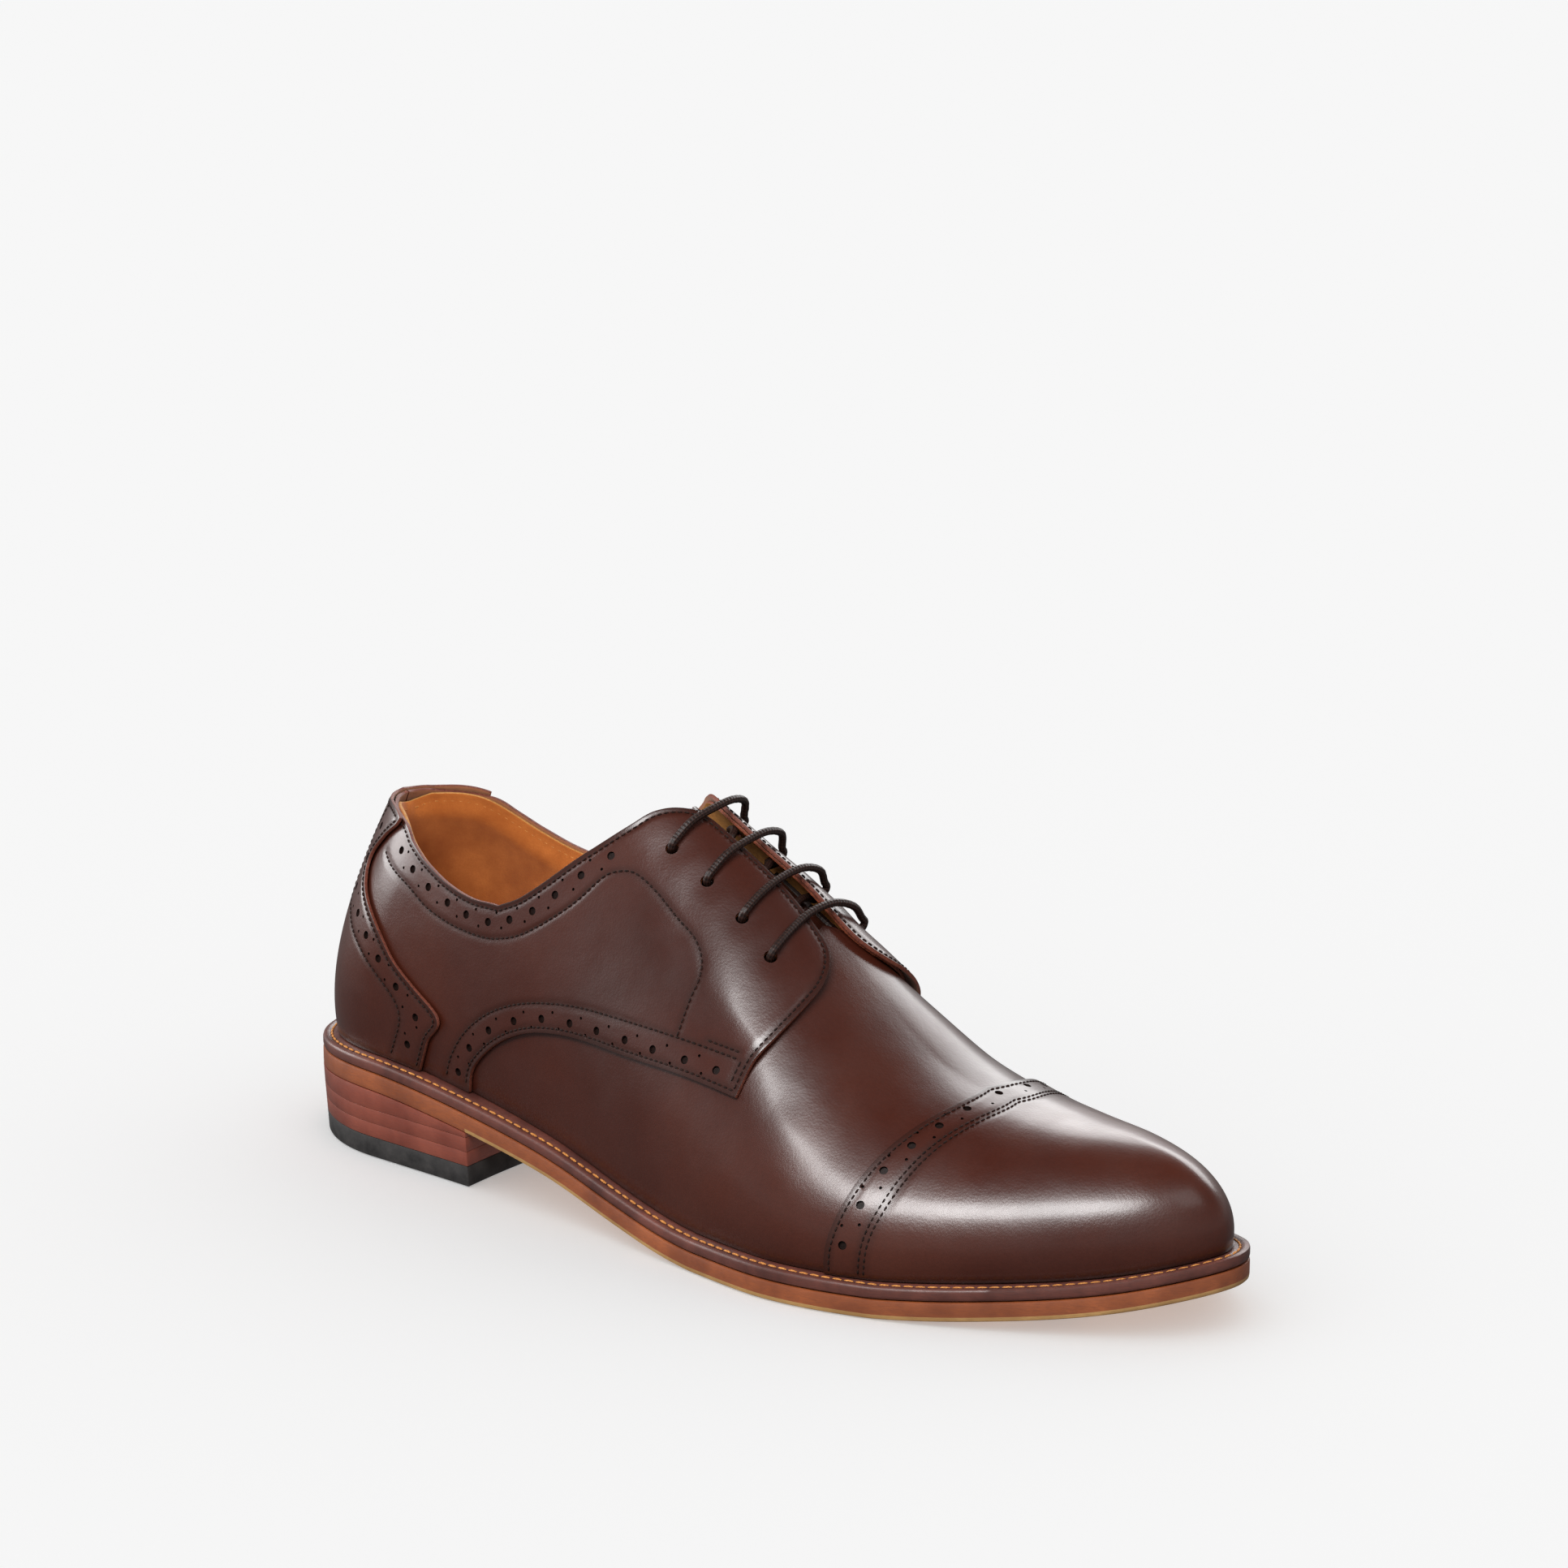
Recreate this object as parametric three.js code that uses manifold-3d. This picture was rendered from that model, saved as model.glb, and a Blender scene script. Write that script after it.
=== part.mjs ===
import * as THREE from 'three';
import Module from 'manifold-3d';

// A right-foot derby shoe with a cap toe, built in millimetres.
// Axes: +X toe, +Y medial side, +Z up, ground at z = 0.

// ---------------------------------------------------------------- sizes
const SOLE_LENGTH = 300; // outsole, heel back to toe tip
const BALL_WIDTH = 106; // sum of the widest half widths of the welt
const UPPER_HEIGHT = 135; // highest point of the last's ridge over the ground
const OUTSOLE_THICKNESS = 5.2;
const WELT_THICKNESS = 3.2;
const WELT_WIDTH = 4.5; // welt showing outside the upper
const WELT_RING = 14; // full width of the welt strip
const TOP_PIECE_THICKNESS = 6;
const LIFT_THICKNESS = 3.9;
const HEEL_LENGTH = 77;
const HEEL_TAPER = 1.2; // inset of the heel at the ground
const LEATHER = 1.0; // quarters, cap and heel patch
const SHELL = 1.2; // vamp, toe puff and heel stiffener
const LINING = 1.0;
const FACING_LINING = 0.8;
const TONGUE_THICKNESS = 1.0;
const GAP = 0.3; // clearance between touching pieces
const PLY_GAP = 0.45; // clearance between curved plies of the upper
const INSOLE_THICKNESS = 2.0;
const SOCK_THICKNESS = 1.2;
const SHANK_THICKNESS = 1.5;
const SHANK_WIDTH = 14;
const NAIL_RADIUS = 1.2;
const LACE_DIAMETER = 2.2;
const EYELET_CLEARANCE = 1.4; // eyelet bore over the lace
const LACE_ROOM = 0.3; // between the tongue and the facings, over the lace
const LACE_DROP = 1.15; // from the last's face to the lace running inside
const AGLET_LENGTH = 13;

const DESIGN = { length: 300, width: 106, height: 135 };
const SCALE_X = SOLE_LENGTH / DESIGN.length;
const SCALE_Y = BALL_WIDTH / DESIGN.width;
const FEATHER_RISE = OUTSOLE_THICKNESS + WELT_THICKNESS + 2 * GAP;
const SEAT_HEIGHT = TOP_PIECE_THICKNESS + 3 * (LIFT_THICKNESS + GAP) - 0.1;

// ---------------------------------------------------------------- helpers
const { cos, sin, abs, min, max, PI, hypot, pow, sqrt, floor } = Math;
const clamp = (v, lo, hi) => max(lo, min(hi, v));
const smooth = (v) => {
  const s = clamp(v, 0, 1);
  return s * s * (3 - 2 * s);
};

/** A smooth function through a few [x, value] stations. */
function through(stations) {
  const xs = stations.map((s) => s[0]);
  const ys = stations.map((s) => s[1]);
  const last = xs.length - 1;
  const step = (i) => xs[i + 1] - xs[i];
  const rise = (i) => (ys[i + 1] - ys[i]) / step(i);
  const slopes = xs.map((_, i) => {
    if (i === 0) return rise(0);
    if (i === last) return rise(last - 1);
    return (rise(i - 1) * step(i) + rise(i) * step(i - 1)) / (step(i) + step(i - 1));
  });
  return (x) => {
    const at = clamp(x, xs[0], xs[last]);
    let i = 0;
    while (i < last - 1 && at > xs[i + 1]) i += 1;
    const h = step(i);
    const s = (at - xs[i]) / h;
    const s2 = s * s;
    const s3 = s2 * s;
    return ys[i] * (2 * s3 - 3 * s2 + 1) + h * slopes[i] * (s3 - 2 * s2 + s)
      + ys[i + 1] * (3 * s2 - 2 * s3) + h * slopes[i + 1] * (s3 - s2);
  };
}

// ---------------------------------------------------------------- the last
// Stations run along the shoe in design millimetres from the heel back.
const LATERAL_HALF = through([[0, 33], [35, 34.5], [75, 36], [120, 39], [160, 47],
  [195, 54], [225, 54], [255, 50.5], [300, 44]]);
const MEDIAL_HALF = through([[0, 33], [35, 34.5], [75, 35], [120, 33], [160, 38],
  [195, 49], [225, 52], [255, 49], [300, 44]]);
const SOLE_RISE = through([[0, 18.5], [35, 20], [70, 16.8], [105, 11.2], [135, 4.6],
  [160, 0.5], [180, -0.5], [215, -0.4], [250, 2], [280, 6.2], [300, 11.2]]);
const RIDGE_HEIGHT = through([[0, 109], [40, 123.5], [75, 135], [110, 121.5], [137, 106],
  [155, 94], [174, 78], [188, 66], [205, 54], [225, 47.5], [245, 44.7], [265, 43.8],
  [285, 42], [300, 39.5]]);
const RIDGE_OFFSET = through([[0, 0], [60, 0.5], [110, 2], [140, 4.5], [160, 6],
  [180, 7.2], [220, 9], [260, 11], [300, 12]]);
const WALL_ROUND = through([[0, 1.65], [25, 1.75], [60, 2], [110, 2.05], [160, 2.2],
  [210, 2.3], [260, 2.6], [300, 2.8]]);
const CROWN_ROUND = through([[0, 1.5], [25, 1.6], [60, 1.85], [110, 1.95], [160, 1.95],
  [210, 1.95], [260, 2.3], [300, 2.8]]);
const WALL_BULGE = through([[0, 2.2], [25, 3.6], [60, 2.5], [110, 2], [160, 2.5],
  [210, 2.2], [260, 1.5], [300, 0.5]]);
const RIDGE_START = 38;
const RIDGE_END = 264;
const HEEL_ROUND = { reach: 39, power: 2.1 };
const TOE_ROUND = { reach: 112, power: 1.88 };
const TOE_SWING = 12; // how far the toe swings to the medial side

const softEnd = (u, reach, power) => (u >= reach ? 1
  : pow(1 - pow(abs(1 - max(u, 0) / reach), power), 1 / power));
const endRound = (x) => softEnd(x, HEEL_ROUND.reach, HEEL_ROUND.power)
  * softEnd(DESIGN.length - x, TOE_ROUND.reach, TOE_ROUND.power);
const swing = (x) => TOE_SWING * smooth((x - 120) / 180);
const station = (t) => (DESIGN.length / 2) * (1 - cos(2 * PI * t));
const wrap = (t) => t - floor(t);

/** Welt outline: t runs 0 at the heel back, by the lateral side, 0.5 at the toe tip. */
function outline(t) {
  const x = station(t);
  const half = wrap(t) <= 0.5 ? -LATERAL_HALF(x) : MEDIAL_HALF(x);
  return [x, swing(x) + half * endRound(x)];
}

/** Outline moved in by its normal, for narrow insets. */
function insetOutline(t, inset) {
  const h = 0.004;
  const a = outline(t - h);
  const b = outline(t + h);
  const length = hypot(b[0] - a[0], b[1] - a[1]);
  const p = outline(t);
  return [p[0] - (inset * (b[1] - a[1])) / length, p[1] + (inset * (b[0] - a[0])) / length];
}

/** Outline shrunk along both axes, for wide insets that a normal would fold. */
function shrunkOutline(t, inset) {
  const x = station(t);
  const half = wrap(t) <= 0.5 ? inset - LATERAL_HALF(x) : MEDIAL_HALF(x) - inset;
  return [inset + (x * (DESIGN.length - 2 * inset)) / DESIGN.length,
    swing(x) + half * endRound(x)];
}

const soleBottom = (x) => {
  const rise = max(0, SOLE_RISE(x));
  return x < 120 ? rise * ((SEAT_HEIGHT - 18.5) * smooth((120 - x) / 60) / 18.5 + 1) : rise;
};
const featherHeight = (x) => soleBottom(x) + FEATHER_RISE;

/** Point of the last. tau runs 0 at the welt, 1 on the ridge, 2 at the other welt. */
function lastPoint(tIn, tauIn) {
  const t = tauIn > 1 ? 1 - tIn : tIn;
  const tau = tauIn > 1 ? 2 - tauIn : tauIn;
  const ox = station(t);
  const [fx, fy] = insetOutline(t, WELT_WIDTH);
  const bx = RIDGE_START + ((RIDGE_END - RIDGE_START) * ox) / DESIGN.length;
  const by = RIDGE_OFFSET(bx);
  const angle = (clamp(tau, 0, 1) * PI) / 2;
  const spread = pow(max(cos(angle), 0), 2 / WALL_ROUND(ox));
  const lift = pow(max(sin(angle), 0), 2 / CROWN_ROUND(ox));
  const bulge = WALL_BULGE(ox) * 6.75 * lift * (1 - lift) * (1 - lift);
  const dx = fx - bx;
  const dy = fy - by;
  const reach = hypot(dx, dy) + 1e-9;
  const px = bx + dx * spread + (dx / reach) * bulge;
  const py = by + dy * spread + (dy / reach) * bulge;
  const base = featherHeight(fx);
  const ridge = (RIDGE_HEIGHT(px) * UPPER_HEIGHT) / DESIGN.height;
  return new THREE.Vector3(px * SCALE_X, py * SCALE_Y, base + (ridge - base) * lift);
}

/** Outward normal of the last; the ridge's toe end borrows from its surroundings. */
function lastNormal(t, tau) {
  if (abs(t - 0.5) < 1e-6 && abs(tau - 1) < 0.01) {
    return lastNormal(0.5, 0.95).add(lastNormal(0.485, 1)).normalize();
  }
  const h = 0.005;
  const k = 0.006;
  const low = tau < k ? 0 : tau - k;
  const high = tau > 2 - k ? 2 : tau + k;
  const along = lastPoint(t + h, tau).sub(lastPoint(t - h, tau));
  const up = lastPoint(t, high).sub(lastPoint(t, low));
  return along.cross(up).normalize();
}

/** Point at a height d off the last; along the welt it stays on the welt. */
function place(t, tau, d) {
  const p = lastPoint(t, tau).addScaledVector(lastNormal(t, tau), d);
  if (min(tau, 2 - tau) < 1e-6) p.z = featherHeight(p.x / SCALE_X);
  return p;
}

// ---------------------------------------------------------------- layers
const sideT = (t) => min(wrap(t), 1 - wrap(t));
const sideTau = (tau) => min(tau, 2 - tau);

/** Outer face of the vamp layer off the last: sunk where more layers lie on it. */
function lay(t) {
  const s = sideT(t);
  return -2 * (LEATHER + PLY_GAP) * (1 - smooth((s - 0.13) / 0.11))
    - (LEATHER + PLY_GAP) * smooth((s - 0.3) / 0.06);
}

/** Rise of the facing flap, which lies over the vamp with its lining. */
const flap = (t, tau) => (FACING_LINING + PLY_GAP) * smooth((sideT(t) - 0.24) / 0.028)
  * smooth((sideTau(tau) - 0.42) / 0.14);

const facingUnder = (t, tau) => lay(t) + flap(t, tau) - FACING_LINING - 0.12;

const LAYERS = {
  patch: [(t) => lay(t) + 2.3 * PLY_GAP + LEATHER, LEATHER],
  quarter: [(t, tau) => lay(t) + PLY_GAP + flap(t, tau), LEATHER],
  cap: [(t) => lay(t) + PLY_GAP, LEATHER],
  shell: [(t) => lay(t) - SHELL, SHELL],
  facingLining: [(t, tau) => facingUnder(t, tau), FACING_LINING],
  lining: [(t) => lay(t) - SHELL - 2 * PLY_GAP - LINING, LINING],
};
const laceRoom = LACE_DIAMETER + LACE_ROOM;
const tongueDrop = (t) => 1.5 + laceRoom * smooth((0.283 - sideT(t)) / 0.018);
LAYERS.tongue = [(t) => lay(t) - tongueDrop(t) - TONGUE_THICKNESS, TONGUE_THICKNESS];
LAYERS.tongueLining = [(t) => lay(t) - tongueDrop(t) - 2 * TONGUE_THICKNESS - GAP,
  TONGUE_THICKNESS];

// ---------------------------------------------------------------- pattern lines
// Pattern points are [t, tau] on the lateral half; the medial half mirrors them.
const TOPLINE = [[0.0012, 0.62], [0.04, 0.605], [0.0979, 0.532], [0.1158, 0.475],
  [0.1317, 0.417], [0.1479, 0.367], [0.1617, 0.345], [0.1742, 0.35], [0.1821, 0.383],
  [0.1904, 0.443], [0.1992, 0.532], [0.2058, 0.61], [0.2113, 0.7], [0.215, 0.79],
  [0.2195, 0.865], [0.2242, 0.915], [0.2295, 0.935]];
const FACING_EDGE = [[0.2295, 0.935], [0.2404, 0.943], [0.2642, 0.945], [0.2779, 0.94],
  [0.2825, 0.925], [0.286, 0.885]];
const FLAP_END = [[0.2775, 0.388], [0.2796, 0.492], [0.2833, 0.593], [0.2867, 0.728],
  [0.2875, 0.83], [0.286, 0.885]];
const BAND_EDGE = [[0.1646, 0], [0.1671, 0.045], [0.1742, 0.09], [0.1829, 0.13],
  [0.1942, 0.17], [0.2054, 0.2], [0.2208, 0.235], [0.2363, 0.27], [0.2529, 0.315],
  [0.2775, 0.388]];
const VAMP_WING = [[0.157, 0.06], [0.165, 0.115], [0.176, 0.165], [0.19, 0.215],
  [0.205, 0.25], [0.22, 0.285], [0.236, 0.325], [0.2529, 0.375], [0.266, 0.43]];
const VAMP_THROAT = [[0.266, 0.43], [0.272, 0.52], [0.2755, 0.63], [0.277, 0.76],
  [0.2765, 0.88], [0.275, 1]];
const PATCH_FRONT = through([[0, 0.1404], [0.195, 0.1467], [0.37, 0.1513], [0.45, 0.1392],
  [0.505, 0.13], [0.638, 0.1083], [0.717, 0.0825], [0.77, 0.0717], [0.89, 0.0817],
  [0.975, 0.0935], [1, 0.0945]]);
const CAP_REAR = through([[0, 0.3165], [0.13, 0.3175], [0.24, 0.3198], [0.41, 0.325],
  [0.52, 0.3295], [0.66, 0.3368], [0.82, 0.3465], [1, 0.357]]);
const CAP_OVERLAP = 0.0108;
const TOPLINE_TAU = through(TOPLINE);
const EYELETS = [[0.2708, 0.745], [0.2579, 0.753], [0.2425, 0.75], [0.2271, 0.74]];
const BAR_RISE = 2.75;
const BAR_SLACK = [[0.2, 1.6], [0.4, 1.2], [0.6, 0.2], [0.8, 0]]; // share of the bar, lift
const TONGUE_ROOT = 0.286;
const TONGUE_TOP = 0.217;

/** Evenly spaced points on a smooth curve through pattern points. */
function trace(points, count) {
  const scaled = points.map(([t, tau]) => new THREE.Vector3(t * 700, tau * 100, 0));
  const curve = new THREE.CatmullRomCurve3(scaled, false, 'centripetal');
  return curve.getSpacedPoints(count).map((p) => [p.x / 700, p.y / 100]);
}

/** Several traced pieces joined end to end, keeping each corner. */
function joined(...pieces) {
  return pieces.flatMap(([points, count], i) => trace(points, count).slice(i ? 1 : 0));
}

/** Grid of pattern points filling four border curves that meet at their ends. */
function fill(bottom, top, left, right) {
  const nu = bottom.length - 1;
  const nv = left.length - 1;
  const mix = (i, j, k) => {
    const u = i / nu;
    const v = j / nv;
    const ruled = (1 - v) * bottom[i][k] + v * top[i][k]
      + (1 - u) * left[j][k] + u * right[j][k];
    const corners = (1 - u) * (1 - v) * bottom[0][k] + u * (1 - v) * bottom[nu][k]
      + (1 - u) * v * top[0][k] + u * v * top[nu][k];
    return ruled - corners;
  };
  return bottom.map((_, i) => left.map((__, j) => [mix(i, j, 0), mix(i, j, 1)]));
}

const mirrorColumn = (column) => column.map(([t, tau]) => [t, 2 - tau]);
/** A lateral half grid that ends on the centre line, carried on to the medial side. */
const withMirror = (grid) => grid.concat(
  grid.slice(0, -1).reverse().map(mirrorColumn));
const toMedial = (grid) => grid.map((column) => column.map(([t, tau]) => [1 - t, tau])).reverse();

// ---------------------------------------------------------------- mesh building
/** Collects triangles and merges equal corners. */
class Shell {
  constructor() {
    this.points = [];
    this.index = new Map();
    this.faces = [];
  }

  corner(p) {
    const key = [p.x, p.y, p.z].map((v) => Math.round(v * 2000)).join(' ');
    if (!this.index.has(key)) {
      this.index.set(key, this.points.length);
      this.points.push(p.clone());
    }
    return this.index.get(key);
  }

  triangle(a, b, c) {
    if (a !== b && b !== c && a !== c) this.faces.push([a, b, c]);
  }

  quad(a, b, c, d) {
    this.triangle(a, b, c);
    this.triangle(a, c, d);
  }

  geometry() {
    const geometry = new THREE.BufferGeometry();
    const flat = this.points.flatMap((p) => [p.x, p.y, p.z]);
    geometry.setAttribute('position', new THREE.Float32BufferAttribute(flat, 3));
    geometry.setIndex(this.faces.flat());
    return geometry;
  }
}

/**
 * Solid sheet over a pattern grid, between two heights off the last. A grid that
 * closes on itself along its last column, as at the toe tip, has no wall there.
 */
function sheet(grid, [inner, thickness], closes = false) {
  const shell = new Shell();
  const rows = (extra) => grid.map((column) => column.map(([t, tau]) => shell.corner(
    place(t, tau, inner(t, tau) + extra))));
  const under = rows(0);
  const over = rows(thickness);
  const nu = grid.length - 1;
  const nv = grid[0].length - 1;
  for (let i = 0; i < nu; i += 1) {
    for (let j = 0; j < nv; j += 1) {
      shell.quad(over[i][j], over[i + 1][j], over[i + 1][j + 1], over[i][j + 1]);
      shell.quad(under[i][j], under[i][j + 1], under[i + 1][j + 1], under[i + 1][j]);
    }
    shell.quad(under[i][0], under[i + 1][0], over[i + 1][0], over[i][0]);
    shell.quad(under[i + 1][nv], under[i][nv], over[i][nv], over[i + 1][nv]);
  }
  for (let j = 0; j < nv; j += 1) {
    shell.quad(under[0][j + 1], under[0][j], over[0][j], over[0][j + 1]);
    if (!closes) shell.quad(under[nu][j], under[nu][j + 1], over[nu][j + 1], over[nu][j]);
  }
  return shell.geometry();
}

/** Stations from x0 to x1, closer together where an end is rounded. */
function stations(x0, x1, count) {
  const tOf = (x) => Math.acos(1 - (2 * x) / DESIGN.length) / (2 * PI);
  const t0 = tOf(x0);
  const t1 = tOf(x1);
  return Array.from({ length: count + 1 }, (_, i) => t0 + ((t1 - t0) * i) / count);
}

/** Flat-laid plate between two loops of the sole, lower and upper. */
function plate(ts, lower, upper) {
  const shell = new Shell();
  const ring = (edge) => ts.map((t) => [edge(t), edge(1 - t)]
    .map(([x, y, z]) => shell.corner(new THREE.Vector3(x * SCALE_X, y * SCALE_Y, z))));
  const low = ring(lower);
  const high = ring(upper);
  const n = ts.length - 1;
  for (let i = 0; i < n; i += 1) {
    shell.quad(high[i][0], high[i + 1][0], high[i + 1][1], high[i][1]);
    shell.quad(low[i][0], low[i][1], low[i + 1][1], low[i + 1][0]);
    shell.quad(low[i][0], low[i + 1][0], high[i + 1][0], high[i][0]);
    shell.quad(low[i + 1][1], low[i][1], high[i][1], high[i + 1][1]);
  }
  shell.quad(low[0][1], low[0][0], high[0][0], high[0][1]);
  shell.quad(low[n][0], low[n][1], high[n][1], high[n][0]);
  return shell.geometry();
}

// ---------------------------------------------------------------- booleans
const wasm = await Module();
wasm.setup();

function toManifold(geometry) {
  return new wasm.Manifold(new wasm.Mesh({
    numProp: 3,
    vertProperties: new Float32Array(geometry.attributes.position.array),
    triVerts: new Uint32Array(geometry.index.array),
  }));
}

function fromManifold(body) {
  const mesh = body.getMesh();
  const geometry = new THREE.BufferGeometry();
  geometry.setAttribute('position', new THREE.BufferAttribute(mesh.vertProperties, 3));
  geometry.setIndex(Array.from(mesh.triVerts));
  return geometry;
}

/** Round rod from a to b. */
function rod(a, b, radius, sides) {
  const axis = b.clone().sub(a);
  const geometry = new THREE.CylinderGeometry(radius, radius, axis.length(), sides);
  const turn = new THREE.Quaternion().setFromUnitVectors(
    new THREE.Vector3(0, 1, 0), axis.clone().normalize());
  geometry.applyQuaternion(turn);
  const middle = a.clone().addScaledVector(axis, 0.5);
  geometry.translate(middle.x, middle.y, middle.z);
  return welded(geometry);
}

/** Drops normals and seams so that each corner is one vertex. */
function welded(geometry) {
  const shell = new Shell();
  const position = geometry.attributes.position;
  const at = (i) => shell.corner(new THREE.Vector3().fromBufferAttribute(position, i));
  const order = geometry.index ? Array.from(geometry.index.array)
    : Array.from({ length: position.count }, (_, i) => i);
  for (let i = 0; i < order.length; i += 3) {
    shell.triangle(at(order[i]), at(order[i + 1]), at(order[i + 2]));
  }
  return shell.geometry();
}

function cut(geometry, tools) {
  const body = tools.reduce((left, tool) => left.subtract(toManifold(tool)),
    toManifold(geometry));
  return fromManifold(body);
}

// ---------------------------------------------------------------- upper
function line(a, b, count) {
  return Array.from({ length: count + 1 }, (_, i) => {
    const s = i / count;
    return [a[0] + (b[0] - a[0]) * s, a[1] + (b[1] - a[1]) * s];
  });
}

function joinedLines(...pieces) {
  return pieces.flatMap((points, i) => points.slice(i ? 1 : 0));
}

/** Pattern grid of the lateral quarter. */
function quarterGrid() {
  const bottom = joinedLines(line([0.0012, 0], BAND_EDGE[0], 11), trace(BAND_EDGE, 15));
  const rear = TOPLINE.slice(0, 8);
  const front = TOPLINE.slice(7);
  const top = joined([rear, 11], [front, 8], [FACING_EDGE, 7]);
  const left = line([0.0012, 0], TOPLINE[0], 8);
  const right = trace(FLAP_END, 8);
  return fill(bottom, top, left, right);
}

function eyeletCutters(sign) {
  return EYELETS.map(([t, tau]) => {
    const side = sign > 0 ? 1 - t : t;
    return rod(place(side, tau, lay(t) - 3), place(side, tau, lay(t) + 6),
      (LACE_DIAMETER + EYELET_CLEARANCE) / 2, 12);
  });
}

function quarter(sign) {
  const grid = sign > 0 ? toMedial(quarterGrid()) : quarterGrid();
  return cut(sheet(grid, LAYERS.quarter), eyeletCutters(sign));
}

function facingLining(sign) {
  const rear = [[0.2095, 0.64], [0.2135, 0.72], [0.2165, 0.79], [0.221, 0.86],
    [0.2255, 0.905], [0.2305, 0.922]];
  const edge = [[0.2305, 0.922], [0.2404, 0.93], [0.2642, 0.932], [0.2775, 0.928],
    [0.2815, 0.91], [0.2845, 0.87]];
  const end = [[0.2785, 0.56], [0.2815, 0.64], [0.285, 0.76], [0.2845, 0.87]];
  const top = joined([rear, 4], [edge, 8]);
  const bottom = trace([[0.2105, 0.6], [0.245, 0.6], [0.262, 0.57], [0.2785, 0.56]], 12);
  const grid = fill(bottom, top, line(bottom[0], rear[0], 4), trace(end, 4));
  const sided = sign > 0 ? toMedial(grid) : grid;
  return cut(sheet(sided, LAYERS.facingLining), eyeletCutters(sign));
}

function vamp() {
  const count = 12;
  const front = Array.from({ length: count + 1 }, (_, i) => [
    CAP_REAR(i / count) + CAP_OVERLAP, i / count]);
  const bottom = joinedLines(line([0.153, 0], [front[0][0], 0], 13), front);
  const top = joined([VAMP_WING, 12], [VAMP_THROAT, 13]);
  const left = line(bottom[0], top[0], 7);
  const right = line(bottom[bottom.length - 1], top[top.length - 1], 7);
  return sheet(withMirror(fill(bottom, top, left, right)), LAYERS.shell);
}

/** Grid over the toe from a rear line to the toe tip. */
function toeGrid(rearOf, along, around) {
  return Array.from({ length: along + 1 }, (_, i) => Array.from(
    { length: 2 * around + 1 }, (__, j) => {
      const tau = j / around;
      const rear = rearOf(sideTau(tau));
      const t = rear + (0.5 - rear) * (1 - pow(1 - i / along, 1.15));
      return [t, tau];
    }));
}

const toeCap = () => sheet(toeGrid(CAP_REAR, 11, 12), LAYERS.cap, true);
const toePuff = () => sheet(
  toeGrid((tau) => CAP_REAR(tau) + CAP_OVERLAP + 0.0015, 9, 8), LAYERS.shell, true);

/** Grid around the heel, symmetric about its back. */
function heelGrid(frontOf, topOf, along, up) {
  return Array.from({ length: 2 * along + 1 }, (_, i) => Array.from(
    { length: up + 1 }, (__, j) => {
      const v = j / up;
      const t = ((i - along) / along) * frontOf(v);
      return [t, v * topOf(abs(t))];
    }));
}

const heelPatch = () => sheet(heelGrid(PATCH_FRONT, TOPLINE_TAU, 10, 14), LAYERS.patch);
const heelStiffener = () => sheet(
  heelGrid(() => 0.14, (t) => TOPLINE_TAU(t) - 0.012, 10, 8), LAYERS.shell);

/** Cloth ply between quarter and lining, ahead of the heel stiffener. */
function interlining(sign) {
  const rear = 0.1425;
  const front = 0.207;
  const top = line([rear, 0], [front, 0], 9).map(([t]) => [t, TOPLINE_TAU(t) - 0.012]);
  const bottom = trace([[rear, 0.03], [0.152, 0.1], [0.176, 0.21], [0.19, 0.26],
    [front, 0.3]], 9);
  const grid = fill(bottom, top, line(bottom[0], top[0], 4), line(bottom[9], top[9], 4));
  return sheet(sign > 0 ? toMedial(grid) : grid, LAYERS.shell);
}

const quarterLining = () => sheet(
  heelGrid(() => 0.235, (t) => min(TOPLINE_TAU(t) - 0.012, 0.56), 19, 7), LAYERS.lining);

function vampLining() {
  const bottom = line([0.2375, 0], [0.5, 0], 15);
  const top = trace([[0.2375, 0.5], [0.262, 0.5], [0.282, 0.56], [0.29, 0.7],
    [0.2915, 0.85], [0.292, 1]], 15);
  const left = line(bottom[0], top[0], 12);
  const right = joinedLines(line([0.5, 0], [0.5, 1], 5), line([0.5, 1], [0.292, 1], 7));
  return sheet(withMirror(fill(bottom, top, left, right)), LAYERS.lining);
}

/** Tongue grid, wider at the top than at its root. */
function tongueGrid() {
  const along = 10;
  const across = 8;
  return Array.from({ length: along + 1 }, (_, i) => Array.from(
    { length: across + 1 }, (__, j) => {
      const s = i / along;
      const half = 0.4 - 0.14 * smooth((s - 0.45) / 0.55) - 0.1 * pow(1 - s, 6);
      return [TONGUE_TOP + (TONGUE_ROOT - TONGUE_TOP) * s, 1 + half * ((2 * j) / across - 1)];
    }));
}

// ---------------------------------------------------------------- lace
/** Route whose steps follow its own points, so that bends stay fine. */
class LaceRoute extends THREE.CatmullRomCurve3 {
  getPointAt(u, target) {
    return this.getPoint(u, target);
  }

  getTangentAt(u, target) {
    return this.getTangent(u, target);
  }
}

const quarterTop = (t, tau) => lay(t) + PLY_GAP + flap(t, tau) + LEATHER;
const LACE_R = LACE_DIAMETER / 2;
const TAU_MM = 0.0125; // one millimetre across the instep, as tau

/** Points through one eyelet, from the outside in; side is +1 medial. */
function eyeletPass([t, tau], side) {
  const across = (shift, d) => {
    const at = tau + shift * TAU_MM;
    return place(t, side > 0 ? 2 - at : at, d);
  };
  const outside = quarterTop(t, tau);
  const inside = facingUnder(t, tau);
  return [
    across(2.6, outside + GAP + LACE_R + 1),
    across(0.9, outside + GAP + LACE_R + 0.4),
    across(0, outside + 0.4),
    across(0, inside - 0.3),
    across(0.7, inside - GAP - LACE_R),
    across(2.6, inside - GAP - LACE_R - 0.1),
  ];
}

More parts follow.
